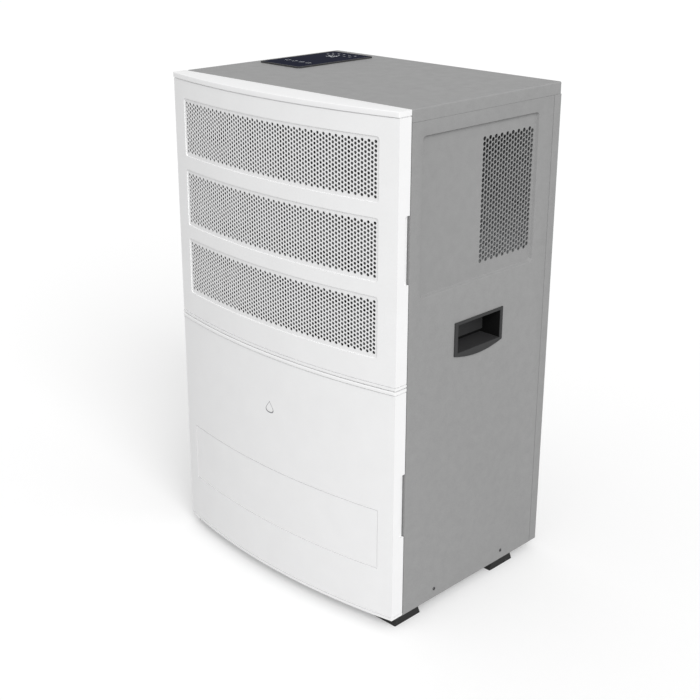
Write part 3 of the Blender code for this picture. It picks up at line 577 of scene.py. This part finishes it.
def copper():
    """Bare copper tube, slightly tarnished."""
    mat, tree, bsdf = shader_of("copper_tube", (0.72, 0.40, 0.25), 0.3, 1.0)
    tarnish = noise(tree, where(tree), 45, 5.0, 0.65)
    stops = [(0.35, (0.76, 0.42, 0.27)), (0.55, (0.62, 0.32, 0.19)), (0.72, (0.34, 0.17, 0.11))]
    tree.links.new(ramp(tree, tarnish, stops), bsdf.inputs["Base Color"])
    uneven_gloss(tree, bsdf, 0.22, 0.45, 60)
    grain(tree, bsdf, [(300, 0.01 * MM, EVEN)])
    return mat


def black_paint():
    colour = (0.02, 0.02, 0.021)
    mat, tree, bsdf = shader_of("black_enamel", colour, 0.34)
    mottle(tree, bsdf, colour, 40, 0.15)
    uneven_gloss(tree, bsdf, 0.28, 0.42, 50)
    grain(tree, bsdf, [(240, 0.03 * MM, EVEN)])
    return mat


def tank_plastic():
    """Milky moulded plastic that lets light through."""
    colour = (0.78, 0.82, 0.86)
    mat, tree, bsdf = shader_of("milky_tank_plastic", colour, 0.3)
    bsdf.inputs["Transmission Weight"].default_value = 0.45
    bsdf.inputs["IOR"].default_value = 1.45
    mottle(tree, bsdf, colour, 12, 0.02)
    uneven_gloss(tree, bsdf, 0.26, 0.38, 30)
    grain(tree, bsdf, [(180, 0.03 * MM, EVEN)])
    return mat


def filter_net():
    colour = (0.34, 0.345, 0.35)
    mat, tree, bsdf = shader_of("filter_net", colour, 0.6)
    mottle(tree, bsdf, colour, 300, 0.10)
    return mat


MADE = {}


def once(make):
    def look():
        if make.__name__ not in MADE:
            MADE[make.__name__] = make()
        return MADE[make.__name__]

    return look


LOOKS = {
    make.__name__: once(make)
    for make in (
        grey_coat, white_coat, white_grille, galvanised, dark_plastic, rubber, blue_plastic,
        display, deep_black, marks, print_ink, screw_steel, aluminium, copper, black_paint,
        tank_plastic, filter_net,
    )
}


# ---------------------------------------------------------------- cabinet shells


def side_shell(name, side, node, punched):
    """A folded side sheet with its drawn field, punched on the outlet's side."""
    body_low, body_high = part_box(node)
    cup_low, cup_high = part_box("right_handle_cup")
    front, rear = body_low.y, body_high.y
    bottom, top = body_low.z, body_high.z
    x_face = side * SIDE
    bm = bmesh.new()

    def at(y, z, depth=0.0):
        return (x_face - side * depth, y, z)

    near, far = front + FOLD, rear - FOLD
    flat = [bm.verts.new(at(y, z)) for y, z in ((far, top), (near, top), (near, bottom), (far, bottom))]
    rings = []
    for inset, depth in drawn_wall(2.6 * MM, PRESS_DEPTH, 1.0 * MM):
        outline = rounded(PRESS_Y, PRESS_Z, 9 * MM, inset, 8)
        rings.append([bm.verts.new(at(y, z, depth)) for y, z in outline])
    grip_y = (cup_low.y + 5 * MM, cup_high.y - 5 * MM)
    grip_z = (cup_low.z + 13 * MM, cup_high.z - 3 * MM)
    grip = [bm.verts.new(at(y, z)) for y, z in rounded(grip_y, grip_z, 2 * MM, 0, 3)]
    fill(bm, [flat, rings[0], grip])
    for first, second in zip(rings, rings[1:]):
        bridge(bm, first, second)
    if punched:
        vent_low, vent_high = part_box("outlet_grille")
        pitch, hole = 9.3 * MM, 4.15 * MM
        vent_y = (vent_low.y + 7.5 * MM, vent_high.y - 7.5 * MM)
        vent_z = (vent_low.z + 8.5 * MM, vent_high.z - 8.5 * MM)
        centres = staggered(vent_y, vent_z, pitch)
        edge = hex_cells(bm, centres, pitch, hole, lambda y, z: at(y, z, PRESS_DEPTH))
        fill(bm, [rings[-1], edge])
    else:
        fill(bm, [rings[-1]])
    for y, inward in ((front, 1), (rear, -1)):
        strip = [(y + inward * inset, depth) for inset, depth in quarter_bend(FOLD)]
        strip.append((y, SIDE_FLANGE))
        before = None
        for place, depth in strip:
            pair = [bm.verts.new(at(place, bottom, depth)), bm.verts.new(at(place, top, depth))]
            if before:
                bm.faces.new((before[0], pair[0], pair[1], before[1]))
            before = pair
    bmesh.ops.remove_doubles(bm, verts=bm.verts, dist=0.001 * MM)
    face_outward(bm, Vector((side, 0, 0)))
    stands_for = [node, "outlet_grille"] if punched else [node]
    piece = add(name, mesh_from(name, bm), "grey_coat", "cabinet", stands_for=stands_for)
    return thicken(piece, SHEET)


def lid_shell():
    """The folded lid."""
    u, v = (LID_LOW.x, LID_HIGH.x), (LID_LOW.y, LID_HIGH.y)
    bm = bmesh.new()
    corner = 6 * MM
    rings = [[bm.verts.new((x, y, LID_LOW.z)) for x, y in rounded(u, v, corner, 0, 8)]]
    for inset, depth in reversed(quarter_bend(BEND, 5)):
        z = LID_HIGH.z - depth
        rings.append([bm.verts.new((x, y, z)) for x, y in rounded(u, v, corner, inset, 8)])
    for first, second in zip(rings, rings[1:]):
        bridge(bm, first, second)
    bm.faces.new(rings[-1])
    face_outward(bm, Vector((0, 0, 1)))
    mesh = mesh_from("lid_shell", bm)
    piece = add("lid_shell", mesh, "grey_coat", "cabinet", stands_for=["top_lid"])
    return thicken(piece, SHEET)


def rear_shell():
    """The wrapped rear sheet with its service well."""
    u, v = (REAR_LOW.x, REAR_HIGH.x), (REAR_LOW.z, REAR_HIGH.z)
    bm = bmesh.new()

    def at(x, z, depth=0.0):
        return (x, REAR_HIGH.y - depth, z)

    corner = 0.4 * MM
    rings = [[bm.verts.new((x, REAR_LOW.y, z)) for x, z in rounded(u, v, corner, 0, 5)]]
    for inset, depth in reversed(quarter_bend(BEND, 5)):
        rings.append([bm.verts.new(at(x, z, depth)) for x, z in rounded(u, v, corner, inset, 5)])
    well = []
    for inset, depth in drawn_wall(1.0 * MM, WELL_DEPTH, 2 * MM):
        outline = rounded(WELL_X, WELL_Z, 8 * MM, inset, 6)
        well.append([bm.verts.new(at(x, z, depth)) for x, z in outline])
    outlets = []
    hole = 10.2 * MM
    for spot in (middle("cable_gland"), middle("drain_spout")):
        angles = [math.radians(15) * i for i in range(24)]
        circle = [(spot.x + hole * math.cos(a), spot.z + hole * math.sin(a)) for a in angles]
        outlets.append([bm.verts.new(at(x, z, WELL_DEPTH)) for x, z in circle])
    fill(bm, [rings[-1], well[0]])
    fill(bm, [well[-1], *outlets])
    for chain in (rings, well):
        for first, second in zip(chain, chain[1:]):
            bridge(bm, first, second)
    face_outward(bm, Vector((0, 1, 0)))
    mesh = mesh_from("rear_shell", bm)
    piece = add("rear_shell", mesh, "grey_coat", "cabinet", stands_for=["rear_panel"])
    return thicken(piece, SHEET)


def grip_cup(name, side, node):
    """A moulded grip: a bowed bezel, a flat floor and a back wall with a dark slot below it. The end
    wall and the faces deep behind the plate get a near-black painted shade.
    """
    low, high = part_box(node)
    face = side * SIDE
    bow, wall, bezel = 10 * MM, 2 * MM, 2.2 * MM
    plate_depth, cavity_depth, cup_depth = 40 * MM, 44 * MM, 46 * MM
    open_y = (low.y + 8.5 * MM, high.y - 7.5 * MM)
    open_z = (low.z + bow + 4.5 * MM, high.z - 5.5 * MM)
    steps = 24
    outline = []
    for i in range(steps + 1):
        across = 2 * i / steps - 1
        outline.append((low.y + (high.y - low.y) * i / steps, low.z + bow * across**2))
    outline += [(high.y, high.z), (low.y, high.z)]
    mesh = prism_mesh([outline, rounded(open_y, open_z, 1.2 * MM, 0, 3)], 0.3 * MM, bezel)
    mesh.transform(Matrix(((0, 0, side, face), (1, 0, 0, 0), (0, 1, 0, 0), (0, 0, 0, 1))))
    if side < 0:
        mesh.flip_normals()
    cup = add(name, mesh, "dark_plastic", None)

    def at(depth, y, z):
        return (face - side * depth, y, z)

    floor, ceiling = open_z
    through = block(
        at(-MM, open_y[0] - wall, floor - MM), at(4 * MM, open_y[1] + wall, ceiling + wall)
    )
    boolean(cup, through, "UNION")
    behind = block(
        at(bezel, open_y[0] - wall, floor - 7.5 * MM),
        at(cup_depth, open_y[1] + wall, ceiling + wall),
    )
    boolean(cup, behind, "UNION")
    mouth = -8 * MM
    section = [(mouth, floor), (mouth, ceiling), (cavity_depth, ceiling), (cavity_depth, floor)]
    cavity = prism_mesh([section], open_y[0], open_y[1])
    cavity.transform(Matrix(((-side, 0, 0, face), (0, 0, 1, 0), (0, 1, 0, 0), (0, 0, 0, 1))))
    if side < 0:
        cavity.flip_normals()
    boolean(cup, helper(cavity))
    plate = block(
        at(plate_depth, open_y[0] - MM, floor + 7 * MM),
        at(plate_depth + wall, open_y[1] + MM, ceiling + MM),
    )
    boolean(cup, plate, "UNION")
    # Painted shade: the end wall and the faces deep behind the plate take the near-black second
    # material.
    cup.data.materials.append(LOOKS["deep_black"]())
    for polygon in cup.data.polygons:
        depth = (face - polygon.center.x) * side
        at_end = polygon.normal.y < -0.9 and abs(polygon.center.y - open_y[1]) < MM and depth > MM
        hidden = plate_depth + MM < depth < cup_depth - 0.1 * MM and polygon.center.z > floor - MM
        if at_end or hidden:
            polygon.material_index = 1
    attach(cup, "cabinet")
    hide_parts(node)
    return soften(cup, 0.5 * MM)


# ---------------------------------------------------------------- doors


def on_arc(x, radius):
    """The depth of a point on the doors' front, at a radius from its centre."""
    return ARC_CENTRE - math.sqrt(radius**2 - x**2)


def bow(radius, half):
    """Points from -half to +half on the doors' front, at a radius from its centre."""
    steps = 72
    xs = [half * (2 * i / steps - 1) for i in range(steps + 1)]
    return [(x, on_arc(x, radius)) for x in xs]


def crown_edges(mesh, top):
    """Rounds the front corners and the front upper edge of a door's block."""
    bm = bmesh.new()
    bm.from_mesh(mesh)
    picked = []
    for edge in bm.edges:
        a, b = (vert.co for vert in edge.verts)
        at_corner = abs(abs(a.x) - SIDE) < SLIVER and a.y < DOOR_EDGE + MM
        upright = abs(a.z - b.z) > 10 * MM and at_corner
        at_top = min(a.z, b.z) > top - SLIVER and max(a.y, b.y) < DOOR_REAR - MM
        upper = at_top and len(edge.link_faces) == 2
        if upright or (upper and abs(edge.link_faces[0].normal.z - edge.link_faces[1].normal.z) > 0.5):
            picked.append(edge)
    bmesh.ops.bevel(
        bm, geom=picked, offset=1.6 * MM, segments=4, profile=0.5, affect="EDGES", clamp_overlap=True
    )
    bm.to_mesh(mesh)
    bm.free()


def door_block(name, low, high, cap, notch_sides, notch, node):
    """A moulded front, hollow and open behind, with a proud cap along its top and a lip below."""
    mesh = prism_mesh([[*bow(ARC_RADIUS, SIDE), (SIDE, DOOR_REAR), (-SIDE, DOOR_REAR)]], low, high)
    crown_edges(mesh, high)
    door = add(name, mesh, "white_coat", None)
    face = ARC_RADIUS - CAP_PROUD
    ahead, behind, wide = DOOR_NOSE - BEYOND, DOOR_REAR + 3 * BEYOND, SIDE + BEYOND
    around = [(-wide, ahead), (wide, ahead), (wide, behind), (-wide, behind)]
    band = SIDE - SIDE_STEP
    for radius, half, foot, head in (
        (face, band, low + LIP_HEIGHT, high - cap),
        (face + CAP_PROUD / 2, SIDE, low - BEYOND, low + LIP_HEIGHT),
        (face - GROOVE, band - GROOVE, high - cap - GROOVE, high - cap),
        (face - GROOVE, band - GROOVE, low + LIP_HEIGHT, low + LIP_HEIGHT + 1.1 * MM),
    ):
        rear = DOOR_REAR + 2 * BEYOND
        inside = [*bow(radius, half), (half, rear), (-half, rear)]
        boolean(door, helper(prism_mesh([around, inside], foot, head)))
    inner, rear = SIDE - DOOR_WALL, DOOR_REAR + BEYOND
    hollow = [*bow(face - DOOR_WALL, inner), (inner, rear), (-inner, rear)]
    boolean(door, helper(prism_mesh([hollow], low + DOOR_WALL, high - DOOR_WALL)))
    for side in notch_sides:
        backing = block(
            (side * (inner + 0.5 * MM), DOOR_REAR - 15 * MM, notch[0] - 3 * MM),
            (side * (inner - 6 * MM), DOOR_REAR - 0.5 * MM, notch[1] + 3 * MM),
        )
        boolean(door, backing, "UNION")
        grip = block(
            (side * (SIDE + BEYOND), DOOR_REAR - 12 * MM, notch[0]),
            (side * (inner - 3 * MM), DOOR_REAR + 12 * MM, notch[1]),
            0,
            6 * MM,
        )
        boolean(door, grip)
    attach(door, UPPER if node == "upper_door" else DRAWER)
    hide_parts(node)
    return door


UPPER, DRAWER = "upper_door", "tank_drawer"


def upper_door_shell():
    low, high = UPPER_LOW.z, UPPER_HIGH.z
    door = door_block("upper_door_shell", low, high, UPPER_CAP, (1,), UPPER_NOTCH, "upper_door")
    for word in ("top", "middle", "bottom"):
        sheet_low, sheet_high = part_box(f"intake_grille_{word}")
        half = sheet_high.x - 5.8 * MM
        window = block(
            (-half, DOOR_NOSE - BEYOND, sheet_low.z + WINDOW_MARGIN),
            (half, DOOR_EDGE + 8 * MM, sheet_high.z - WINDOW_MARGIN),
            1,
            6 * MM,
            8,
        )
        boolean(door, window)
    net_low, net_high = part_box("filter_frame")
    for side in (-1, 1):
        edge = net_high.x + 0.4 * MM
        rib = block(
            (side * edge, DOOR_EDGE - 4 * MM, net_low.z - 2 * MM),
            (side * (edge + 2.3 * MM), net_high.y + 3 * MM, net_high.z + 2 * MM),
        )
        boolean(door, rib, "UNION")
    for pin in HINGE_PINS:
        spot = middle(pin)
        slot = block(
            (-SIDE - BEYOND, spot.y - 6 * MM, spot.z - 2.5 * MM),
            (-SIDE + DOOR_WALL + MM, FRONT + BEYOND, spot.z + 2.5 * MM),
        )
        boolean(door, slot)
        for start in (spot.z - 6.5 * MM, spot.z + 2.5 * MM):
            lug = block(
                (-SIDE + DOOR_WALL / 2, spot.y - 4.5 * MM, start),
                (spot.x + 5.5 * MM, spot.y + 4 * MM, start + 4 * MM),
            )
            boolean(door, lug, "UNION")
        boolean(door, rod(1.58 * MM, (spot.x, spot.y, spot.z - BEYOND), 2 * BEYOND))
    return soften(door, 0.7 * MM)


def lower_door_shell():
    low, high = LOWER_LOW.z, LOWER_HIGH.z
    door = door_block("lower_door_shell", low, high, LOWER_CAP, (-1, 1), LOWER_NOTCH, "lower_door")
    face, ahead = ARC_RADIUS - CAP_PROUD, DOOR_NOSE - BEYOND
    half = FIELD_HALF
    bottom, top = FIELD_Z
    field = [*bow(face - 0.6 * MM, half), (half, ahead), (-half, ahead)]
    boolean(door, helper(prism_mesh([field], bottom, top)))
    line, top_line, depth, steps = 1.2 * MM, 1.7 * MM, 2.1 * MM, 72
    for start, end, foot, head in (
        (-half, half, top - top_line, top),
        (-half, half, bottom, bottom + line),
        (-half, line - half, bottom, top),
        (half - line, half, bottom, top),
    ):
        xs = [start + (end - start) * i / steps for i in range(steps + 1)]
        groove = [(x, on_arc(x, face - depth)) for x in xs] + [(end, ahead), (start, ahead)]
        boolean(door, helper(prism_mesh([groove], foot, head)))
    return soften(door, 0.7 * MM)


def intake_sheet(word):
    """A bowed punched sheet whose plain margin is moulded into the shell."""
    node = f"intake_grille_{word}"
    low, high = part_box(node)
    radius = ARC_RADIUS - CAP_PROUD - 1.8 * MM
    edge = high.x
    margin = WINDOW_MARGIN + 8 * MM
    columns = 74
    step = 2 * (edge - margin) / columns
    pitch = step * 2 / math.sqrt(3)
    rows = 12
    centre, reach = (low.z + high.z) / 2, rows * pitch / 2
    centres = staggered((-edge + margin, edge - margin), (centre - reach, centre + reach), pitch)
    bm = bmesh.new()
    inner = hex_cells(bm, centres, pitch, 2.95 * MM, lambda x, z: (x, 0, z))
    steps = 90
    outline = [(edge * (1 - 2 * i / steps), high.z) for i in range(steps + 1)]
    outline += [(edge * (2 * i / steps - 1), low.z) for i in range(steps + 1)]
    outer = [bm.verts.new((x, 0, z)) for x, z in outline]
    cells = set(bm.faces)
    fill(bm, [outer, inner])
    geometry = [face for face in bm.faces if face not in cells]
    corners = dict.fromkeys(vert for face in geometry for vert in face.verts)
    edges = dict.fromkeys(edge for face in geometry for edge in face.edges)
    geometry += [*corners, *edges]
    strips = 60
    for i in range(1, strips):
        place = (edge * (2 * i / strips - 1), 0, 0)
        cut = bmesh.ops.bisect_plane(bm, geom=geometry, plane_co=place, plane_no=(1, 0, 0))
        geometry = cut["geom"]
    for vert in bm.verts:
        vert.co.y = on_arc(vert.co.x, radius)
    face_outward(bm, Vector((0, -1, 0)))
    name = f"punched_grille_{word}"
    piece = add(name, mesh_from(name, bm), "white_grille", UPPER, stands_for=[node])
    return thicken(piece, 1.0 * MM)


def filter_mesh():
    """The filter's woven net, inside its frame."""
    low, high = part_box("filter_frame")
    depth = (low.y + high.y) / 2
    pitch, half = 2.0 * MM, 0.24 * MM
    rim = 8 * MM
    bm = bmesh.new()

    def strand(corner, opposite):
        made = bmesh.ops.create_cube(bm, size=1.0)["verts"]
        size = Vector(opposite) - Vector(corner)
        bmesh.ops.scale(bm, vec=size, verts=made)
        bmesh.ops.translate(bm, vec=(Vector(opposite) + Vector(corner)) / 2, verts=made)

    columns = round((high.x - low.x - 2 * rim) / pitch)
    for i in range(1, columns):
        x = low.x + rim + (high.x - low.x - 2 * rim) * i / columns
        strand((x - half, depth - half, low.z + rim), (x + half, depth + half, high.z - rim))
    rows = round((high.z - low.z - 2 * rim) / pitch)
    for i in range(1, rows):
        z = low.z + rim + (high.z - low.z - 2 * rim) * i / rows
        strand(
            (low.x + rim, depth + 0.2 * half, z - half), (high.x - rim, depth + 2.2 * half, z + half)
        )
    return add("filter_mesh", mesh_from("filter_mesh", bm), "filter_net", UPPER)


# ---------------------------------------------------------------- small pieces


def screw(name, place, axis, turn):
    """A pan head with a cross recess. turn is +1 or -1 along the axis, out of the sheet."""
    radius, rim, crown, sunk = 3.4 * MM, 0.5 * MM, 1.3 * MM, 0.2 * MM
    dome = [(0, -sunk), (radius, -sunk), (radius, rim)]
    for i in range(1, 6):
        angle = math.radians(18 * i)
        dome.append((radius * math.cos(angle), rim + crown * math.sin(angle)))
    dome[-1] = (0, rim + crown)
    mesh = turned_mesh(dome, (0, 0, 0), "Z", 28)
    head = add(name, mesh, "screw_steel", None)
    long, narrow = 1.9 * MM, 0.5 * MM
    for a, b in ((narrow, long), (long, narrow)):
        boolean(head, block((-a, -b, 0.8 * MM), (a, b, 4 * MM)))
    if turn < 0:
        head.data.transform(Matrix.Rotation(math.pi, 4, "X"))
    head.data.transform(Matrix.Translation(place) @ TURN[axis])
    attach(head, "cabinet")
    return smooth(head)


def screws():
    pan_low = PANEL_LOW.z + 19 * MM
    for word, side in (("right", 1), ("left", -1)):
        for end, y in (("front", -0.086), ("rear", 0.117)):
            screw(f"side_screw_{word}_{end}", (side * SIDE, y, pan_low), "X", side)
    heights = (0.036, 0.330, 0.640, 0.930)
    for i, z in enumerate(heights):
        for word, side in (("right", 1), ("left", -1)):
            screw(f"rear_screw_{word}_{i + 1}", (side * (SIDE - 12 * MM), REAR_HIGH.y, z), "Y", 1)


def digit(bm, corner, height, segments, along, across, up):
    """A seven-segment digit of thin raised bars."""
    wide, bar = height * 0.55, height * 0.12
    half = height / 2
    bars = {
        "a": ((bar, height - bar), (wide - bar, height)),
        "g": ((bar, half - bar / 2), (wide - bar, half + bar / 2)),
        "d": ((bar, 0), (wide - bar, bar)),
        "f": ((0, half + bar / 2), (bar, height - bar)),
        "b": ((wide - bar, half + bar / 2), (wide, height - bar)),
        "e": ((0, bar), (bar, half - bar / 2)),
        "c": ((wide - bar, bar), (wide, half - bar / 2)),
    }
    for key in segments:
        (u0, v0), (u1, v1) = bars[key]
        raised(bm, corner, (u0, u1), (v0, v1), along, across, up)


def raised(bm, corner, u, v, along, across, up):
    made = bmesh.ops.create_cube(bm, size=1.0)["verts"]
    for vert in made:
        a = u[0] if vert.co.x < 0 else u[1]
        b = v[0] if vert.co.y < 0 else v[1]
        c = 0 if vert.co.z < 0 else 0.08 * MM
        vert.co = Vector(corner) + along * a + across * b + up * c


def display_marks():
    """Two digits and a row of key symbols on the glass, read from the machine's front."""
    low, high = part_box("display_glass")
    along, across, up = Vector((1, 0, 0)), Vector((0, 1, 0)), Vector((0, 0, 1))
    bm = bmesh.new()
    top = high.z - 0.02 * MM
    size = 17 * MM
    place = Vector((low.x + 36 * MM, high.y - 62 * MM, top))
    digit(bm, place, size, "afgcd", along, across, up)
    digit(bm, place + along * 13 * MM, size, "abcdef", along, across, up)
    for row in range(2):
        for key in range(5):
            corner = Vector((low.x + (16 + 16 * key) * MM, high.y - (22 + 16 * row) * MM, top))
            raised(bm, corner, (0, 5 * MM), (0, 0.8 * MM), along, across, up)
            raised(bm, corner, (0, 0.8 * MM), (1.4 * MM, (3.4 + (key % 3)) * MM), along, across, up)
            raised(bm, corner, (2.2 * MM, 5 * MM), (2.4 * MM, 3.2 * MM), along, across, up)
    for key in range(4):
        corner = Vector((low.x + (18 + 20 * key) * MM, low.y + 46 * MM, top))
        raised(bm, corner, (0, 9 * MM), (0, 0.6 * MM), along, across, up)
        raised(bm, corner, (0, 9 * MM), (8.4 * MM, 9 * MM), along, across, up)
        raised(bm, corner, (0, 0.6 * MM), (0.6 * MM, 8.4 * MM), along, across, up)
        raised(bm, corner, (8.4 * MM, 9 * MM), (0.6 * MM, 8.4 * MM), along, across, up)
    return add("display_marks", mesh_from("display_marks", bm), "marks", "cabinet")


def drop_mark():
    """A plain outline of a water drop printed on the lower front."""
    bm = bmesh.new()
    centre_x, centre_z = 0.0, 0.375
    radius = ARC_RADIUS - CAP_PROUD
    size, stroke, steps = 11 * MM, 0.9 * MM, 48

    def drop(scale, i):
        turn = 2 * math.pi * i / steps
        x = scale * math.sin(turn) * (1 - math.cos(turn)) / 1.3
        z = -scale * math.cos(turn)
        return x, z * 1.15 + scale * 0.2

    rings = []
    for lift in (0.0, 0.06 * MM):
        for scale in (size, size - 2 * stroke):
            ring = []
            for i in range(steps):
                x, z = drop(scale, i)
                px, pz = centre_x - x, centre_z - z
                ring.append(bm.verts.new((px, on_arc(px, radius) - lift, pz)))
            rings.append(ring)
    outer_back, inner_back, outer_front, inner_front = rings
    loop = [outer_back, outer_front, inner_front, inner_back, outer_back]
    for first, second in zip(loop, loop[1:]):
        bridge(bm, first, second)
    bmesh.ops.recalc_face_normals(bm, faces=bm.faces)
    return add("drop_mark", mesh_from("drop_mark", bm), "print_ink", DRAWER)


def fin_stack(name, node):
    """A stack of thin flat fins with a wavy edge."""
    low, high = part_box(node)
    pitch, thick = 2.4 * MM, 0.16 * MM
    count = round((high.x - low.x) / pitch)
    bm = bmesh.new()
    waves = 8
    for i in range(count + 1):
        x = low.x + thick + (high.x - low.x - 2 * thick) * i / count
        rows = []
        for k in range(waves + 1):
            y = low.y + (high.y - low.y) * k / waves
            sway = 0.35 * MM * (1 if k % 2 else -1)
            sides = (x + sway - thick, x + sway + thick)
            rows.append([bm.verts.new((a, y, z)) for a in sides for z in (low.z, high.z)])
        for a, b in zip(rows, rows[1:]):
            for p, q in ((0, 1), (1, 3), (3, 2), (2, 0)):
                bm.faces.new((a[p], a[q], b[q], b[p]))
        for end in (rows[0], rows[-1]):
            bm.faces.new((end[0], end[1], end[3], end[2]))
    bmesh.ops.recalc_face_normals(bm, faces=bm.faces)
    return add(name, mesh_from(name, bm), "aluminium", "cabinet", stands_for=[node])


# ---------------------------------------------------------------- carried-over nodes


def dress_frame():
    """Gives each node that still shows its finish, and rounds its edges."""
    slots = {part["node"]: part["material_slot"] for part in frame["record"]["subparts"]}
    widths = {
        "rubber": 1.6 * MM,
        "dark_plastic": 0.5 * MM,
        "black_paint": 0.5 * MM,
        "tank_plastic": 0.6 * MM,
        "display": 0.3 * MM,
        "galvanised": 0.25 * MM,
        "screw_steel": 0.2 * MM,
    }
    for name, obj in frame["nodes"].items():
        if obj.hide_render:
            continue
        obj.data.materials.clear()
        obj.data.materials.append(LOOKS[slots[name]]())
        width = widths.get(slots[name])
        if width and name not in ROUND_NODES:
            weld = obj.modifiers.new("weld", "WELD")
            weld.merge_threshold = 0.001 * MM
            bevel = obj.modifiers.new("edges", "BEVEL")
            bevel.width = width
            bevel.segments = 2
            bevel.limit_method = "ANGLE"
            bevel.angle_limit = math.radians(35)
            bevel.harden_normals = True


ROUND_NODES = ("fan_wheel", "tank_handle", "hinge_pin_bottom", "hinge_pin_top")


# ---------------------------------------------------------------- stage


def stage():
    """A pale floor, a pale sky and one broad soft light from the right."""
    bm = bmesh.new()
    bmesh.ops.create_grid(bm, x_segments=1, y_segments=1, size=30)
    floor = bpy.data.objects.new("floor", mesh_from("floor", bm))
    bpy.context.scene.collection.objects.link(floor)
    mat, tree, bsdf = shader_of("floor", (0.55, 0.55, 0.55), 0.9)
    bsdf.inputs["Specular IOR Level"].default_value = 0.0
    bsdf.inputs["Emission Color"].default_value = (1, 1, 1, 1)
    seen = tree.nodes.new("ShaderNodeLightPath")
    lift = tree.nodes.new("ShaderNodeMath")
    lift.operation = "MULTIPLY"
    lift.inputs[1].default_value = 0.16
    tree.links.new(seen.outputs["Is Camera Ray"], lift.inputs[0])
    tree.links.new(lift.outputs["Value"], bsdf.inputs["Emission Strength"])
    tint = ramp(tree, seen.outputs["Is Camera Ray"], [(0.0, (0.55,) * 3), (1.0, (0.85,) * 3)])
    tree.links.new(tint, bsdf.inputs["Base Color"])
    floor.data.materials.append(mat)

    world = bpy.data.worlds.new("sky")
    bpy.context.scene.world = world
    world.use_nodes = True
    sky = world.node_tree.nodes["Background"]
    sky.inputs["Color"].default_value = (1, 1, 1, 1)
    sky.inputs["Strength"].default_value = 0.68
    paths = world.node_tree.nodes.new("ShaderNodeLightPath")
    seen = world.node_tree.nodes.new("ShaderNodeBackground")
    seen.inputs["Color"].default_value = (1, 1, 1, 1)
    seen.inputs["Strength"].default_value = 1.1
    pick = world.node_tree.nodes.new("ShaderNodeMixShader")
    links = world.node_tree.links
    links.new(paths.outputs["Is Camera Ray"], pick.inputs["Fac"])
    links.new(sky.outputs["Background"], pick.inputs[1])
    links.new(seen.outputs["Background"], pick.inputs[2])
    links.new(pick.outputs["Shader"], world.node_tree.nodes["World Output"].inputs["Surface"])

    lamp = bpy.data.lights.new("soft_light", "SUN")
    lamp.energy = 1.95
    lamp.angle = math.radians(40)
    light = bpy.data.objects.new("soft_light", lamp)
    bpy.context.scene.collection.objects.link(light)
    light.rotation_mode = "QUATERNION"
    light.rotation_quaternion = Vector((0.44, -0.26, 0.33)).to_track_quat("Z", "Y")


def camera():
    data = bpy.data.cameras.new("camera")
    cam = bpy.data.objects.new("camera", data)
    bpy.context.scene.collection.objects.link(cam)
    bpy.context.scene.camera = cam
    azimuth, elevation, roll = math.radians(44.783), math.radians(19.645), math.radians(0.179)
    level = math.cos(elevation)
    back = Vector((math.sin(azimuth) * level, -math.cos(azimuth) * level, math.sin(elevation)))
    cam.location = (1.6382, -1.6696, 1.3337)
    cam.rotation_mode = "QUATERNION"
    aim = (-back).to_track_quat("-Z", "Y")
    cam.rotation_quaternion = aim @ Matrix.Rotation(roll, 3, "Z").to_quaternion()
    data.sensor_width = 36
    data.lens = 64.035
    data.shift_y = -0.05
    data.clip_start = 0.05
    data.clip_end = 200


def build():
    camera()
    stage()
    side_shell("right_side_shell", 1, "right_side_panel", True)
    side_shell("left_side_shell", -1, "left_side_panel", False)
    lid_shell()
    rear_shell()
    grip_cup("right_grip_cup", 1, "right_handle_cup")
    grip_cup("left_grip_cup", -1, "left_handle_cup")
    upper_door_shell()
    lower_door_shell()
    for word in ("top", "middle", "bottom"):
        intake_sheet(word)
    filter_mesh()
    fin_stack("evaporator_fin_stack", "evaporator_fins")
    fin_stack("condenser_fin_stack", "condenser_fins")
    screws()
    display_marks()
    drop_mark()
    dress_frame()
    bpy.context.scene.view_settings.view_transform = "Standard"


build()
